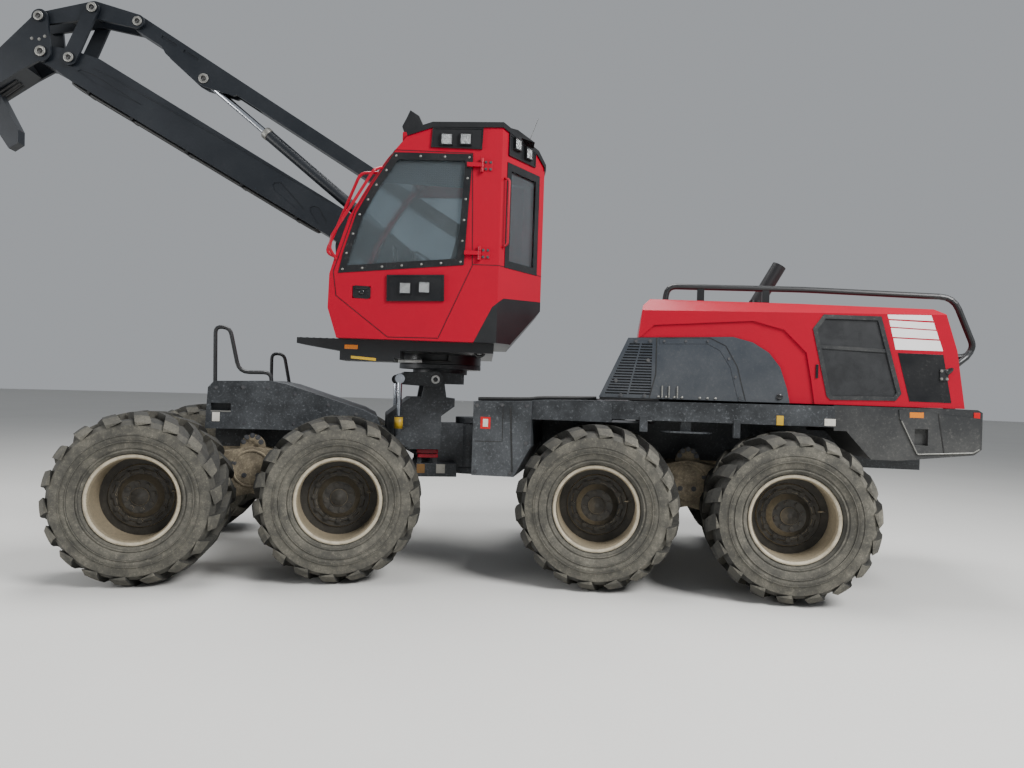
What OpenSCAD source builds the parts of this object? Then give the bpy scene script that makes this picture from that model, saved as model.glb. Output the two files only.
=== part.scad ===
// Forestry harvester: eight driven wheels on two frames hinged in the middle,
// with the cab and the crane side by side on one slewing platform.
// X runs from the crane's tip towards the engine, Y away from the cab's side, Z up from the ground.

/* [Wheels] */
// Outside diameter of a tyre over its lugs
tyre_d = 1390; // [1300:5:1400]
// Width of a tyre at its sidewalls
tyre_w = 710; // [620:5:720]
// Outside diameter of the rim's flange
rim_d = 720; // [690:5:740]
// Width of the rim over its flanges
rim_w = 610; // [580:5:620]
// Lugs on each half of a tyre
lug_count = 18; // [14:1:20]
// Height of a lug above the crown
lug_h = 55; // [40:5:60]
// How far the wheel disc sits inside the outer flange
disc_recess = 270; // [230:5:290]
// Distance between the two axles of a bogie
bogie_base = 1586; // [1500:2:1640]
// Distance between the middle planes of the left and right tyres
track_w = 2250; // [2200:10:2320]

/* [Frames] */
// From the frame hinge forward to the middle of the front bogie
front_bogie_x = 2058; // [2000:2:2100]
// From the frame hinge back to the middle of the rear bogie
rear_bogie_x = 2190; // [2150:2:2260]
// How far the machine is bent at its hinge as it stands
bend = 19.4; // [10:0.2:25]
// Width of the front frame's beam
front_beam_w = 760; // [700:10:800]
// Width of the rear frame's beam
rear_beam_w = 700; // [640:10:740]
// Width of the bodywork on the front frame
front_body_w = 1500; // [1400:10:1500]
// Width over the side boxes behind the hinge
side_box_w = 2500; // [2400:10:2520]
// Radius of the frame hinge's pin
hinge_pin_r = 60; // [50:1:70]

/* [Hood] */
// Width of the hood
hood_w = 2200; // [2100:10:2300]
// Height of the hood's top above the ground
hood_top = 2505; // [2480:5:2540]
// Thickness of the hood's skin
hood_wall = 30; // [20:1:40]
// Radius of the tube that guards the hood's top
rail_r = 26; // [20:1:30]

/* [Platform] */
// From the frame hinge forward to the slewing centre
slew_x = 320; // [300:5:340]
// How far the platform is turned from the front frame as it stands
slew = 8.9; // [0:0.1:10]
// Height of the platform's deck
deck_top = 2076; // [2070:1:2086]
// Radius of the slewing bearing
ring_r = 420; // [380:5:430]

/* [Cab] */
// Distance of the cab's outer wall from the slewing centre
cab_left = 1150; // [1120:5:1160]
// Width of the cab
cab_w = 1560; // [1520:5:1570]
// Thickness of the cab's walls and its door
cab_wall = 60; // [50:1:66]
// Gap round the door
door_gap = 8; // [6:1:12]
// Thickness of the window panes
pane_t = 12; // [8:1:16]

/* [Crane] */
// From the cab's right wall to the crane's plane
crane_gap = 240; // [230:5:260]
// Length of the main boom from pin to pin
boom_len = 5057; // [4900:1:5100]
// Angle of the main boom above the level as it stands
boom_rise = 29.1; // [26:0.1:32]
// Width of the main boom
boom_w = 260; // [240:5:270]
// Angle of the stick below the level as it stands
stick_fall = 35; // [32:0.5:38]
// Length of the stick's box from its pin
stick_len = 2500; // [2300:10:2600]
// Width of the stick
stick_w = 230; // [210:5:236]
// Thickness of the crane's plates
plate_t = 30; // [24:1:34]

/* [Hidden] */

// Colours of the finishes
red = "#d0021c";
black = "#20242a";
crane_blue = "#1b2633";
grey = "#4a525c";
rubber = "#4b4740";
dust = "#a08c70";
steel = "#c9ccd0";
glass = "#3a4650";

// Running clearance between a pin and its bore, and gap between faces that pass each other
fit = 0.05;
pass = 6;
seat = 0.3;

// Middle of the machine's box, measured from the frame hinge
mid_x = -1397;
mid_y = -219;

// Wheels
wheel_r = tyre_d / 2;
rim_r = rim_d / 2;
rim_t = 12;
seat_r = rim_r - 22;
tyre_wall = 45;
axle_z = wheel_r;
crown_r = wheel_r - lug_h;
spindle_r = 60;
spindle_len = 80;
stub_r = 165;
disc_t = 20;
hub_r = 150;
hub_len = 60;

// Bogies and axles
bogie_in = 430;
bogie_out = track_w / 2 - tyre_w / 2 - 25;
bogie_end_r = 215;
bogie_top = 1075;
pivot_z = 870;
pivot_r = 165;
saddle_z = 1050;

// Frame hinge
hinge_z0 = 850;
hinge_z1 = 1300;
hinge_r = 140;
ear_t = 60;

// Levelling
pitch_x = 405;
pitch_z = 1745;
pitch_r = 50;
level_y = 500;
level_x = 752;
level_foot_z = 1130;
ring_top = 1890;

// Crane: places along the boom (u, from its base pin) and square to it (w)
crane_y = cab_w - cab_left + crane_gap;
g_x = -60;
g_z = 2720;
pin_a = [boom_len + 212, 319];
pin_b = [boom_len, 0];
pin_c = [boom_len - 291, 101];
pin_d = [boom_len - 219, 700];
pin_e = [boom_len - 677, 838];
pin_f = [boom_len - 1593, 681];
pin_k = [0, 690];
pin_h = [60, 105];
lift_u = 1150;
lift_w = -215;
lift_foot = [-430, 2215];
boom_pin_r = 60;
tip_pin_r = 42;

// Places a piece of the rear frame, of the platform or of the crane
module placed() translate([-mid_x, -mid_y, 0]) children();
module at_rear() rotate([0, 0, -bend]) children();
module at_platform() translate([-slew_x, 0, 0]) rotate([0, 0, -slew]) children();
module at_crane() at_platform() translate([0, crane_y, 0]) children();
module at_boom() at_crane() translate([g_x, 0, g_z]) rotate([0, boom_rise, 0]) mirror([1, 0, 0]) children();
module at_stick() at_boom() translate([pin_b[0], 0, pin_b[1]])
    rotate([0, boom_rise + stick_fall, 0]) children();

// Extrudes an outline drawn in X and Z over a width centred on y
module side_plate(width, y = 0) translate([0, y, 0]) rotate([90, 0, 0])
    linear_extrude(height = width, center = true) children();
// Outline of a bar with two round ends
function bar_turn(p, q, rp, rq) = acos((rp - rq) / norm(q - p));
module bar(p, rp, q, rq, shy = 0) {
    way = atan2(q[1] - p[1], q[0] - p[0]);
    turn = bar_turn(p, q, rp, rq);
    translate(p) circle(r = rp, $fn = 48);
    translate(q) circle(r = rq, $fn = 48);
    polygon([for (end = [[p, rp, 1], [p, rp, -1], [q, rq, -1], [q, rq, 1]])
        end[0] + (end[1] - shy) * [cos(way + end[2] * turn), sin(way + end[2] * turn)]]);
}
// A pin or bore across the crane, centred on the plane y = 0
module pin_across(p, r, width) translate([p[0], 0, p[1]]) rotate([90, 0, 0])
    cylinder(r = r, h = width, center = true, $fn = 48);
// Like parts on both sides of the plane y = 0
module both_sides() {
    children();
    mirror([0, 1, 0]) children();
}
// A round tube along a list of points, its corners rounded off
tube_sides = 12;
bend_steps = 4;
function unit(v) = v / norm(v);
function corner(p, q, r, turn_r) = let (
    a = unit(p - q), b = unit(r - q),
    cut = min(turn_r, norm(p - q) / 2.1, norm(r - q) / 2.1))
    [for (k = [0 : bend_steps]) let (t = k / bend_steps)
        (1 - t) * (1 - t) * (q + cut * a) + 2 * t * (1 - t) * q + t * t * (q + cut * b)];
function rounded(pts, turn_r) = [pts[0],
    for (i = [1 : len(pts) - 2]) each corner(pts[i - 1], pts[i], pts[i + 1], turn_r), pts[len(pts) - 1]];
function heading(pts, i) = unit(pts[min(i + 1, len(pts) - 1)] - pts[max(i - 1, 0)]);
function carried(n, t) = unit(n - (n * t) * t);
function normals(pts, n, i = 0) = i == len(pts) ? [] :
    let (m = carried(n, heading(pts, i))) concat([m], normals(pts, m, i + 1));
module tube_path(corners, r, turn_r = 60) {
    pts = rounded(corners, turn_r);
    first = heading(pts, 0);
    ns = normals(pts, abs(first[2]) > 0.8 ? [1, 0, 0] : [0, 0, 1]);
    last = len(pts) - 1;
    points = [for (i = [0 : last]) let (n = ns[i], b = cross(heading(pts, i), n))
              for (j = [0 : tube_sides - 1])
        pts[i] + r * (cos(j * 360 / tube_sides) * n + sin(j * 360 / tube_sides) * b)];
    polyhedron(points, concat(
        [[for (j = [0 : tube_sides - 1]) j]],
        [for (i = [0 : last - 1], j = [0 : tube_sides - 1]) let (k = (j + 1) % tube_sides)
            [i * tube_sides + j, (i + 1) * tube_sides + j, (i + 1) * tube_sides + k, i * tube_sides + k]],
        [[for (j = [tube_sides - 1 : -1 : 0]) last * tube_sides + j]]));
}
// Moves each edge of a convex outline, listed anticlockwise, inwards by d
function cross2(a, b) = a[0] * b[1] - a[1] * b[0];
function inward(p, q, d) = d * [-(q[1] - p[1]), q[0] - p[0]] / norm(q - p);
function meet(p, u, q, v) = p + u * cross2(q - p, v) / cross2(u, v);
function inset(pts, d) = let (n = len(pts)) [for (i = [0 : n - 1])
    let (a = pts[(i + n - 1) % n], b = pts[i], c = pts[(i + 1) % n])
    meet(a + inward(a, b, d), b - a, b + inward(b, c, d), c - b)];

// Wheels are numbered from the crane end, side -1 is the cab's side
wheel_xs = [-front_bogie_x - bogie_base / 2, -front_bogie_x + bogie_base / 2,
            rear_bogie_x - bogie_base / 2, rear_bogie_x + bogie_base / 2];
module at_wheel(side, number) {
    x = wheel_xs[number - 1];
    rotate([0, 0, number > 2 ? -bend : 0]) translate([x, side * track_w / 2, axle_z])
        mirror([0, side < 0 ? 1 : 0, 0]) rotate([-90, 0, 0]) children();
}

// One lug from above: across the tyre and round it, ahead of and behind its middle line
lug_edge = [[-12, -32], [165, 75], [355, 120], [355, 245], [165, 165], [-12, 35]];
module lug_rows() for (i = [0 : lug_count - 1], s = [0, 1])
    rotate((i + s / 2) * 360 / lug_count) mirror([0, 0, s]) translate([crown_r - 60, 0, 0])
        rotate([0, 90, 0]) linear_extrude(height = lug_h + 80) polygon([for (p = lug_edge) [-p[0], p[1]]]);
module tyre(side, number) color(rubber) at_wheel(side, number) {
    half = tyre_w / 2;
    bead = rim_w / 2 - 20;
    rotate_extrude($fn = 96) difference() {
        polygon([[seat_r, -bead], [rim_r, -rim_w / 2 + rim_t], [rim_r + 60, -half + 20],
                 [crown_r - 140, -half],
                 [crown_r - 45, -half + 12], [crown_r - 10, -half + 60], [crown_r, -half + 150],
                     [crown_r, half - 150],
                 [crown_r - 10, half - 60], [crown_r - 45, half - 12], [crown_r - 140, half],
                     [rim_r + 60, half - 20],
                 [rim_r, rim_w / 2 - rim_t], [seat_r, bead]]);
        polygon([[seat_r - 8, -bead + tyre_wall], [crown_r - 160, -half + tyre_wall + 10],
                 [crown_r - 75, -half + 200],
                 [crown_r - 75, half - 200], [crown_r - 160, half - tyre_wall - 10],
                     [seat_r - 8, bead - tyre_wall]]);
    }
    intersection() {
        rotate_extrude($fn = 96) polygon([[crown_r - 90, -half + 5], [crown_r - 20, -half + 5],
                                          [wheel_r - 22, -half + 60],
            [wheel_r, -half + 130], [wheel_r, half - 130], [wheel_r - 22, half - 60],
                [crown_r - 20, half - 5],
            [crown_r - 90, half - 5]]);
        lug_rows();
    }
}
module rim(side, number) color(dust) at_wheel(side, number) {
    half = rim_w / 2;
    disc = half - disc_recess;
    bead = half - 20;
    difference() {
        rotate_extrude($fn = 96) {
            polygon([[seat_r - rim_t, -half], [rim_r, -half], [rim_r, -half + rim_t], [seat_r, -bead],
                     [seat_r, bead],
                     [rim_r, half - rim_t], [rim_r, half], [rim_r - 20, half],
                         [seat_r - rim_t, bead - 10]]);
            polygon([[0, disc - disc_t], [seat_r - rim_t, disc - disc_t], [seat_r - rim_t, disc],
                     [262, disc],
                     [255, disc + 14], [hub_r + 30, disc + 14], [hub_r, disc + hub_len - 14],
                     [hub_r - 14, disc + hub_len], [0, disc + hub_len]]);
            polygon([[0, disc - disc_t], [0, disc - disc_t - spindle_len],
                     [stub_r, disc - disc_t - spindle_len],
                     [stub_r + 10, disc - disc_t]]);
        }
        translate([0, 0, disc - disc_t - spindle_len - 1])
            cylinder(r = spindle_r + fit, h = spindle_len + 6, $fn = 48);
    }
}

// One bogie's beams and stub axles, centred on x = 0, and the axle housing between them
module bogies() color(dust) both_sides() {
    stub_end = track_w / 2 + rim_w / 2 - disc_recess - disc_t - spindle_len;
    side_plate(bogie_out - bogie_in, (bogie_out + bogie_in) / 2) {
        bar([-bogie_base / 2, axle_z], bogie_end_r, [0, pivot_z], bogie_top - pivot_z);
        bar([bogie_base / 2, axle_z], bogie_end_r, [0, pivot_z], bogie_top - pivot_z);
    }
    side_plate(24, bogie_out - 60) intersection() {
        translate([0, bogie_top]) circle(r = 110, $fn = 48);
        translate([-120, bogie_top - 40]) square([240, 200]);
    }
    for (x = [-1, 1] * bogie_base / 2) translate([x, 0, axle_z]) rotate([-90, 0, 0]) {
        translate([0, 0, bogie_out - 1]) cylinder(r = stub_r, h = stub_end - bogie_out - 3, $fn = 48);
        translate([0, 0, bogie_out]) cylinder(r = spindle_r, h = stub_end - bogie_out + spindle_len,
                                              $fn = 48);
    }
}
module axle() {
    bogies();
    color(dust) translate([0, 0, pivot_z]) rotate([90, 0, 0])
        cylinder(r = pivot_r, h = 2 * bogie_in + 2, center = true, $fn = 48);
    color(dust) translate([-170, -200, pivot_z - 230]) cube([340, 400, 240]);
    color(dust) translate([-130, -230, pivot_z]) cube([260, 460, saddle_z - pivot_z]);
}
module front_axle() translate([-front_bogie_x, 0, 0]) axle();
module rear_axle() at_rear() translate([rear_bogie_x, 0, 0]) axle();

// Front frame: beam, hinge barrel, and the ears of the levelling pivot
eye_gap = 48;
module front_frame() color(black) difference() {
    beam_top = 1235;
    union() {
        translate([-2440, -front_beam_w / 2, saddle_z])
            cube([2440 - 330, front_beam_w, beam_top - saddle_z]);
        side_plate(240) polygon([[-340, hinge_z0], [0, hinge_z0], [0, hinge_z1], [-340, hinge_z1],
                                 [-700, beam_top],
                                 [-700, saddle_z]]);
        translate([0, 0, hinge_z0]) cylinder(r = hinge_r, h = hinge_z1 - hinge_z0, $fn = 48);
        side_plate(front_beam_w) polygon([[-860, 1200], [-330, 1200], [-330, 1380], [-200, 1480],
                                          [-200, 1560],
                                          [-640, 1560], [-860, 1380]]);
        both_sides() side_plate(70, 345) bar([-pitch_x, 1500], 130, [-pitch_x, pitch_z], 90);
        both_sides() for (s = [-1, 1]) side_plate(20, level_y + s * (eye_gap + 10))
            bar([-level_x, level_foot_z], 55, [-level_x + 90, 1210], 55);
        both_sides() translate([-690, front_beam_w / 2 - 1, 1085])
            cube([55, level_y + eye_gap + 1 - front_beam_w / 2, 130]);
        both_sides() translate([-level_x, level_y, level_foot_z]) rotate([90, 0, 0])
            cylinder(r = 25, h = 2 * eye_gap + 50, center = true, $fn = 32);
    }
    translate([0, 0, hinge_z0 - 1]) cylinder(r = hinge_pin_r + fit, h = hinge_z1 - hinge_z0 + 2, $fn = 48);
    translate([-pitch_x, 0, pitch_z]) rotate([90, 0, 0])
        cylinder(r = pitch_r + fit, h = 900, center = true, $fn = 48);
}

// Bodywork on the front frame, with a step let into each side
body_side = [[-2464, 1235], [-2450, 1600], [-2400, 1659], [-1923, 1676], [-1780, 1650], [-1074, 1428],
             [-960, 1370],
             [-900, 1235]];
module front_bodywork() color(black) difference() {
    side_plate(front_body_w) polygon(body_side);
    both_sides() side_plate(160, front_body_w / 2)
        polygon([[-2420, 1396], [-2250, 1396], [-2250, 1463], [-2420, 1463]]);
}
module front_rails() color(black) difference() {
    y = front_body_w / 2 - 60;
    union() {
        tube_path([[-2400, -y, 1600], [-2415, -y, 2150], [-2290, -y, 2140], [-2200, -y, 1745],
                   [-1920, -y, 1750],
                   [-1915, -y, 1610]], 18, 90);
        tube_path([[-2085, y, 1610], [-2090, y, 1975], [-1960, y, 1970], [-1885, y, 1600]], 18, 80);
    }
    side_plate(front_body_w + 2) polygon(body_side);
}

// Rear frame: beam, hinge ears and pin
module rear_frame() color(black) at_rear() {
    beam_top = 1380;
    translate([480, -rear_beam_w / 2, saddle_z]) cube([4300 - 480, rear_beam_w, beam_top - saddle_z]);
    side_plate(300) polygon([[150, hinge_z0 - 5], [500, hinge_z0 + 30], [500, beam_top],
                             [150, hinge_z1 + 5]]);
    for (z = [hinge_z0 - pass - ear_t, hinge_z1 + pass]) {
        translate([0, 0, z]) cylinder(r = hinge_r, h = ear_t, $fn = 48);
        translate([0, -hinge_r, z]) cube([300, 2 * hinge_r, ear_t]);
    }
    translate([0, 0, hinge_z0 - pass - 10])
        cylinder(r = hinge_pin_r, h = hinge_z1 - hinge_z0 + 2 * pass + 20, $fn = 48);
}
module side_boxes() color(black) at_rear() both_sides() {
    y = side_box_w / 2;
    inner = rear_beam_w / 2;
    side_plate(y - inner, (y + inner) / 2)
        polygon([[295, 905], [670, 905], [770, 1100], [810, 1170], [810, 1570], [295, 1555]]);
    side_plate(y - inner - 60, (y + inner - 60) / 2)
        polygon([[809, 1412], [1500, 1412], [1500, 1600], [809, 1580]]);
    side_plate(y - 100 - inner, (y - 100 + inner) / 2)
        polygon([[1499, 1440], [3340, 1440], [3340, 1615], [1499, 1600]]);
}
module engine() color(grey) at_rear() translate([1900, -rear_beam_w / 2, 1380])
    cube([1400, rear_beam_w, 860]);
hood_pin_x = 4386;
hood_pin_z = 1644;
hood_pin_y = 700;
bumper_cover = [[3854, 1530], [3992, 1239], [4420, 1268], [4470, 1300], [4465, 1553], [3845, 1604]];
module rear_bumper() color(black) at_rear() {
    difference() {
        both_sides() side_plate(12, hood_w / 2 + 22) polygon(bumper_cover);
        both_sides() side_plate(60, hood_w / 2 + 20)
            polygon([[3971, 1316], [4074, 1316], [4074, 1451], [3971, 1451]]);
    }
    difference() {
        side_plate(hood_w + 40) polygon([[3340, 1410], [3440, 1410], [3640, 1182], [3853, 1182],
                                         [4430, 1252], [4487, 1300],
                                         [4487, 1600], [4450, 1622], [3340, 1622]]);
        translate([3339, -rear_beam_w / 2, saddle_z]) cube([4300 - 3339, rear_beam_w, 1380 - saddle_z]);
        both_sides() side_plate(60, hood_w / 2 + 20)
            polygon([[3971, 1316], [4074, 1316], [4074, 1451], [3971, 1451]]);
    }
    both_sides() for (s = [-1, 1]) side_plate(20, hood_pin_y + 46 * s)
        bar([hood_pin_x + 20, 1600], 30, [hood_pin_x, hood_pin_z], 20);
    both_sides() translate([0, hood_pin_y, 0]) pin_across([hood_pin_x, hood_pin_z], 12, 112);
}

// Hood: one shell hinged at its rear lower edge
hood_base = 1628;
hood_side = [[1640, hood_base], [1700, 2100], [1740, 2440], [1800, hood_top], [3049, hood_top - 25],
             [4120, hood_top - 60], [4200, 2400], [4290, 2100], [4358, hood_base]];
hood_inside = [[1640 + hood_wall, hood_base - 1], [1730, 2100], [1770, 2420], [1815, hood_top - hood_wall],
               [3049, hood_top - 25 - hood_wall], [4100, hood_top - 60 - hood_wall], [4170, 2390],
                   [4260, 2100],
               [4358 - hood_wall, hood_base - 1]];
panel_edge = [[1380, hood_base - 1], [2985, hood_base], [2960, 1750], [2900, 1930], [2806, 2050],
              [2670, 2135],
              [2507, 2178], [1380, 2150]];
band_edge = [[1700, 2140], [1841, 2268], [2669, 2318], [2924, 2248], [3110, 2058], [3150, 1849],
             [3185, hood_base - 1],
             [2800, hood_base - 1], [2800, 1900], [2400, 2140]];
band_depth = 14;
hood_chamfer = 110;
screen_edge = [[3315, 1677], [3819, 1686], [3857, 1737], [3688, 2364], [3244, 2373], [3166, 2262],
               [3290, 1700]];
// The hood's outline over its cross section, moved in by d, with its long upper edges cut off at 45 degrees
module hood_block(outline, d) intersection() {
    y = hood_w / 2 - d;
    z = hood_top - d;
    cut = hood_chamfer - (2 - sqrt(2)) * d;
    side_plate(4000) polygon(outline);
    translate([1500, 0, 0]) rotate([90, 0, 90]) linear_extrude(height = 3100)
        polygon([[-y, 1500], [y, 1500], [y, z - cut], [y - cut, z], [cut - y, z], [-y, z - cut]]);
}
module hood_shell() color(red) at_rear() difference() {
    union() {
        difference() {
            hood_block(hood_side, 0);
            hood_block(hood_inside, hood_wall);
            both_sides() side_plate(2 * hood_wall, hood_w / 2) polygon(panel_edge);
            both_sides() side_plate(2 * hood_wall, hood_w / 2) polygon(screen_edge);
            both_sides() side_plate(2 * band_depth, hood_w / 2) polygon(band_edge);
        }
        both_sides() side_plate(60, hood_pin_y)
            polygon([[4335, 1632], [hood_pin_x, 1626], [hood_pin_x + 14, 1658], [4335, 1664]]);
    }
    pin_across([hood_pin_x, hood_pin_z], 12 + fit, 1700);
}
// Side panels, their air slots in two columns along the sloping front edge
slot_rows = 19;
slot_h = 12;
slot_z = 1660;
slot_pitch = 24;
slot_end = 1830;
slot_bar = 14;
module hood_panels() color(grey) at_rear() both_sides() difference() {
    side_plate(hood_wall, hood_w / 2 - hood_wall / 2)
        polygon([[1380, hood_base], each [for (i = [1 : 6]) panel_edge[i]], [1620, 2152]]);
    for (i = [0 : slot_rows - 1]) {
        z = slot_z + i * slot_pitch;
        start = 1420 + (z - hood_base) * 0.458;
        len = (slot_end - start - slot_bar) / 2;
        for (x = [start, slot_end - len]) translate([x, hood_w / 2 - 2 * hood_wall, z])
            cube([len, 4 * hood_wall, slot_h]);
    }
}
module hood_screens() color(black) at_rear() both_sides()
    side_plate(hood_wall - 10, hood_w / 2 - hood_wall / 2) polygon(screen_edge);
module hood_rail() color(black) at_rear() {
    y = 950;
    difference() {
        union() {
            both_sides() tube_path([[1930, y, hood_top - 40], [1950, y, 2625], [3100, y, 2610],
                                    [4310, y, 2560],
                                    [4475, y, 2150], [4420, y, 2060], [4250, y, 2060]], rail_r, 110);
            for (x = [2238, 2789], side = [-1, 1]) translate([x - 30, side * y - 20, hood_top - 60])
                cube([60, 40, 158]);
        }
        side_plate(hood_w) polygon(hood_side);
    }
}
module exhaust() color(black) at_rear() difference() {
    union() {
        translate([2870, 0, hood_top - 60]) cylinder(r = 70, h = 180, $fn = 32);
        translate([2870, 0, hood_top + 95]) rotate([0, 29, 0]) cylinder(r = 68, h = 430, $fn = 32);
    }
    side_plate(hood_w) polygon(hood_side);
}

// Levelling frame: tips on the cross pin and carries the slewing bearing
module levelling_frame() color(black) {
    arm_y = level_y - 70;
    difference() {
        union() {
            translate([-pitch_x - 300, -300, 1700]) cube([600, 600, 110]);
            translate([-slew_x, 0, 1800]) cylinder(r = 280, h = 60, $fn = 64);
            translate([-slew_x, 0, ring_top - 40]) cylinder(r = ring_r, h = 40, $fn = 64);
            both_sides() side_plate(60, arm_y) bar([-pitch_x, pitch_z], 75, [-level_x, pitch_z - 8], 50);
            translate([-pitch_x, 0, pitch_z]) rotate([90, 0, 0])
                cylinder(r = pitch_r, h = 2 * arm_y, center = true, $fn = 48);
        }
        translate([-slew_x, 0, 1720]) cylinder(r = 100 + fit, h = 400, $fn = 48);
    }
}
module level_place() both_sides() translate([-level_x, level_y, level_foot_z]) children();
level_len = pitch_z - 8 - level_foot_z;
module level_barrel() color(black) level_place() difference() {
    union() {
        rotate([90, 0, 0]) cylinder(r = 48, h = 84, center = true, $fn = 48);
        cylinder(r = 40, h = 250, $fn = 32);
    }
    rotate([90, 0, 0]) cylinder(r = 25 + fit, h = 100, center = true, $fn = 32);
    translate([0, 0, 55]) cylinder(r = 24 + fit, h = 400, $fn = 32);
}
module level_rod() color(steel) level_place() {
    translate([0, 0, 130]) cylinder(r = 24, h = level_len - 130, $fn = 32);
    translate([0, 0, level_len]) rotate([90, 0, 0]) cylinder(r = 45, h = 66, center = true, $fn = 32);
}

// Slewing deck and the pillar that carries the crane
module slew_deck() color(black) at_platform() {
    translate([0, 0, ring_top + pass]) cylinder(r = ring_r, h = deck_top - ring_top - pass, $fn = 64);
    translate([0, 0, 1725]) cylinder(r = 100, h = 200, $fn = 48);
    translate([-640, -1020, deck_top - 90]) cube([1180, 1310 + crane_y, 90]);
    side_plate(330, -855) polygon([[-1232, 2024], [-500, 1915], [-300, 1915], [-300, deck_top],
                                   [-1232, deck_top]]);
    difference() {
        intersection() {
            cab_solid(0);
            side_plate(4000) polygon(skirt_edge);
        }
        cab_solid(cab_wall);
    }
}
module crane_pillar() color(crane_blue) at_crane() {
    side = boom_w / 2 + pass;
    foot = deck_top;
    difference() {
        union() {
            side_plate(2 * side) polygon([[-300, foot], [330, foot], [250, 2420], [-250, 2420]]);
            both_sides() side_plate(50, side + 25) {
                bar([0, foot + 260], 250, [g_x, g_z], 120);
                polygon([[-330, foot], [360, foot], [245, foot + 300], [-245, foot + 300]]);
            }
            both_sides() side_plate(plate_t, 100) bar([-200, 2215], 110, lift_foot, 70);
        }
        side_plate(160) bar([-280, 2215], 100, [lift_foot[0] - 200, lift_foot[1] + 60], 110);
        translate([0, 0, foot - 400]) cube([1400, 1400, 800], center = true);
    }
    pin_across([g_x, g_z], boom_pin_r, 2 * side + 180);
    pin_across(lift_foot, 35, 230);
}

// Cab: side outline in X and Z, plan outline in X and Y
cab_edge = [[-935, 2640], [-892, 2791], [-779, 3150], [-625, 3423], [-458, 3679], [-287, 3891]];
cab_top = [[981, 3820], [900, 3910], [560, 4000], [-59, 3975], cab_edge[5]];
cab_side = [[-855, deck_top], [690, deck_top], [981, 2430], each cab_top,
            each [for (i = [4 : -1 : 0]) cab_edge[i]],
            [-940, 2338]];
cab_right = cab_w - cab_left;
cab_plan = [[-1100, -cab_left], [560, -cab_left], [981, -590], [981, 130], [860, cab_right],
            [-1100, cab_right]];
module cab_solid(d) intersection() {
    side_plate(4000) polygon(inset(cab_side, d));
    translate([0, 0, 1500]) linear_extrude(height = 3000) polygon(inset(cab_plan, d));
}
door_outline = [[-407, 2092], [44, 2097], [329, 2758], [300, 3765], [-395, 3765], [-575, 3490],
                [-730, 3215], [-845, 2850],
                [-905, 2660], [-874, 2446]];
door_pane = [[-840, 2665], [236, 2772], [285, 3738], [-389, 3725], [-560, 3450], [-700, 3180],
             [-805, 2830]];
// The black skirt under the cab's rear corner belongs to the deck
skirt_edge = [[355, deck_top - 1], [512, 2393], [615, 2484], [1100, 2530], [1100, deck_top - 1]];
chamfer_turn = atan2(560, 421);
module at_chamfer() translate([560, -cab_left, 0]) rotate([0, 0, chamfer_turn]) children();
// Openings for the panes: windscreen, right side, rear and the rear corner beside the door
module pane_cuts() {
    side_plate(cab_w - 260, cab_right - cab_w / 2)
        polygon([[-1200, 2720], [-700, 2720], [-200, 3795], [-1200, 3795]]);
    side_plate(2 * cab_wall + 20, cab_right) polygon(door_pane);
    translate([850, -470, 2780]) cube([300, 480, 900]);
    at_chamfer() translate([110, -90, 2780]) cube([480, 200, 920]);
}
// Door hinges: the door's knuckles turn on pins between knuckles on the shell
door_pin = [385, -cab_left - 22];
hinge_zs = [2868, 3653];
knuckle_r = 15;
knuckle_h = 40;
module cab_shell() color(red) at_platform() {
    difference() {
        cab_solid(0);
        cab_solid(cab_wall);
        side_plate(2 * cab_wall, -cab_left) polygon(door_outline);
        side_plate(4000) polygon(skirt_edge);
        pane_cuts();
    }
    for (z = hinge_zs) translate([door_pin[0], door_pin[1], z]) {
        translate([0, 0, -1.5 * knuckle_h]) cylinder(r = 8, h = 3 * knuckle_h, $fn = 32);
        for (s = [-1, 1]) translate([0, 0, s * (knuckle_h + 2)]) {
            cylinder(r = knuckle_r, h = knuckle_h, center = true, $fn = 32);
            translate([-10, 0, -knuckle_h / 2]) cube([20, 30, knuckle_h]);
        }
    }
}
// Roof: a thin lid over the cab's top, and the lamp panels at its side and on its rear corner
lid_over = 14;
lid_top = [[-300, 3935], [-66, 4022], [564, 4046], [915, 3952], [996, 3848]];
lid_crown = [[-20, 4015], [560, 4036], [860, 3950], [700, 4060], [545, 4095], [0, 4060]];
lamp_size = 96;
panel_t = 10;
lamp_t = 24;
side_lamps = [[64, 3868], [233, 3876]];
corner_lamps = [[205, 3903], [385, 3868]];
module lamp_panel(outline, lamps) rotate([90, 0, 0]) {
    linear_extrude(height = panel_t) polygon(outline);
    for (p = lamps) linear_extrude(height = lamp_t) translate(p) square(lamp_size, center = true);
}
module cab_roof() color(black) at_platform() {
    intersection() {
        side_plate(4000) polygon([each lid_top, [996, 3790], [981, 3790], each cab_top]);
        linear_extrude(height = 5000) polygon(inset(cab_plan, -lid_over));
    }
    side_plate(cab_w - 420, cab_right - cab_w / 2) polygon(lid_crown);
    translate([0, -cab_left, 0]) lamp_panel([[-72, 3798], [378, 3798], [385, 4000], [-62, 3984]],
                                            side_lamps);
    at_chamfer() lamp_panel([[93, 3780], [523, 3780], [523, 3925], [93, 3993]], corner_lamps);
}
module cab_windows() color(glass) at_platform() intersection() {
    pane_cuts();
    difference() {
        cab_solid(20);
        cab_solid(20 + pane_t);
    }
}
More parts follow.
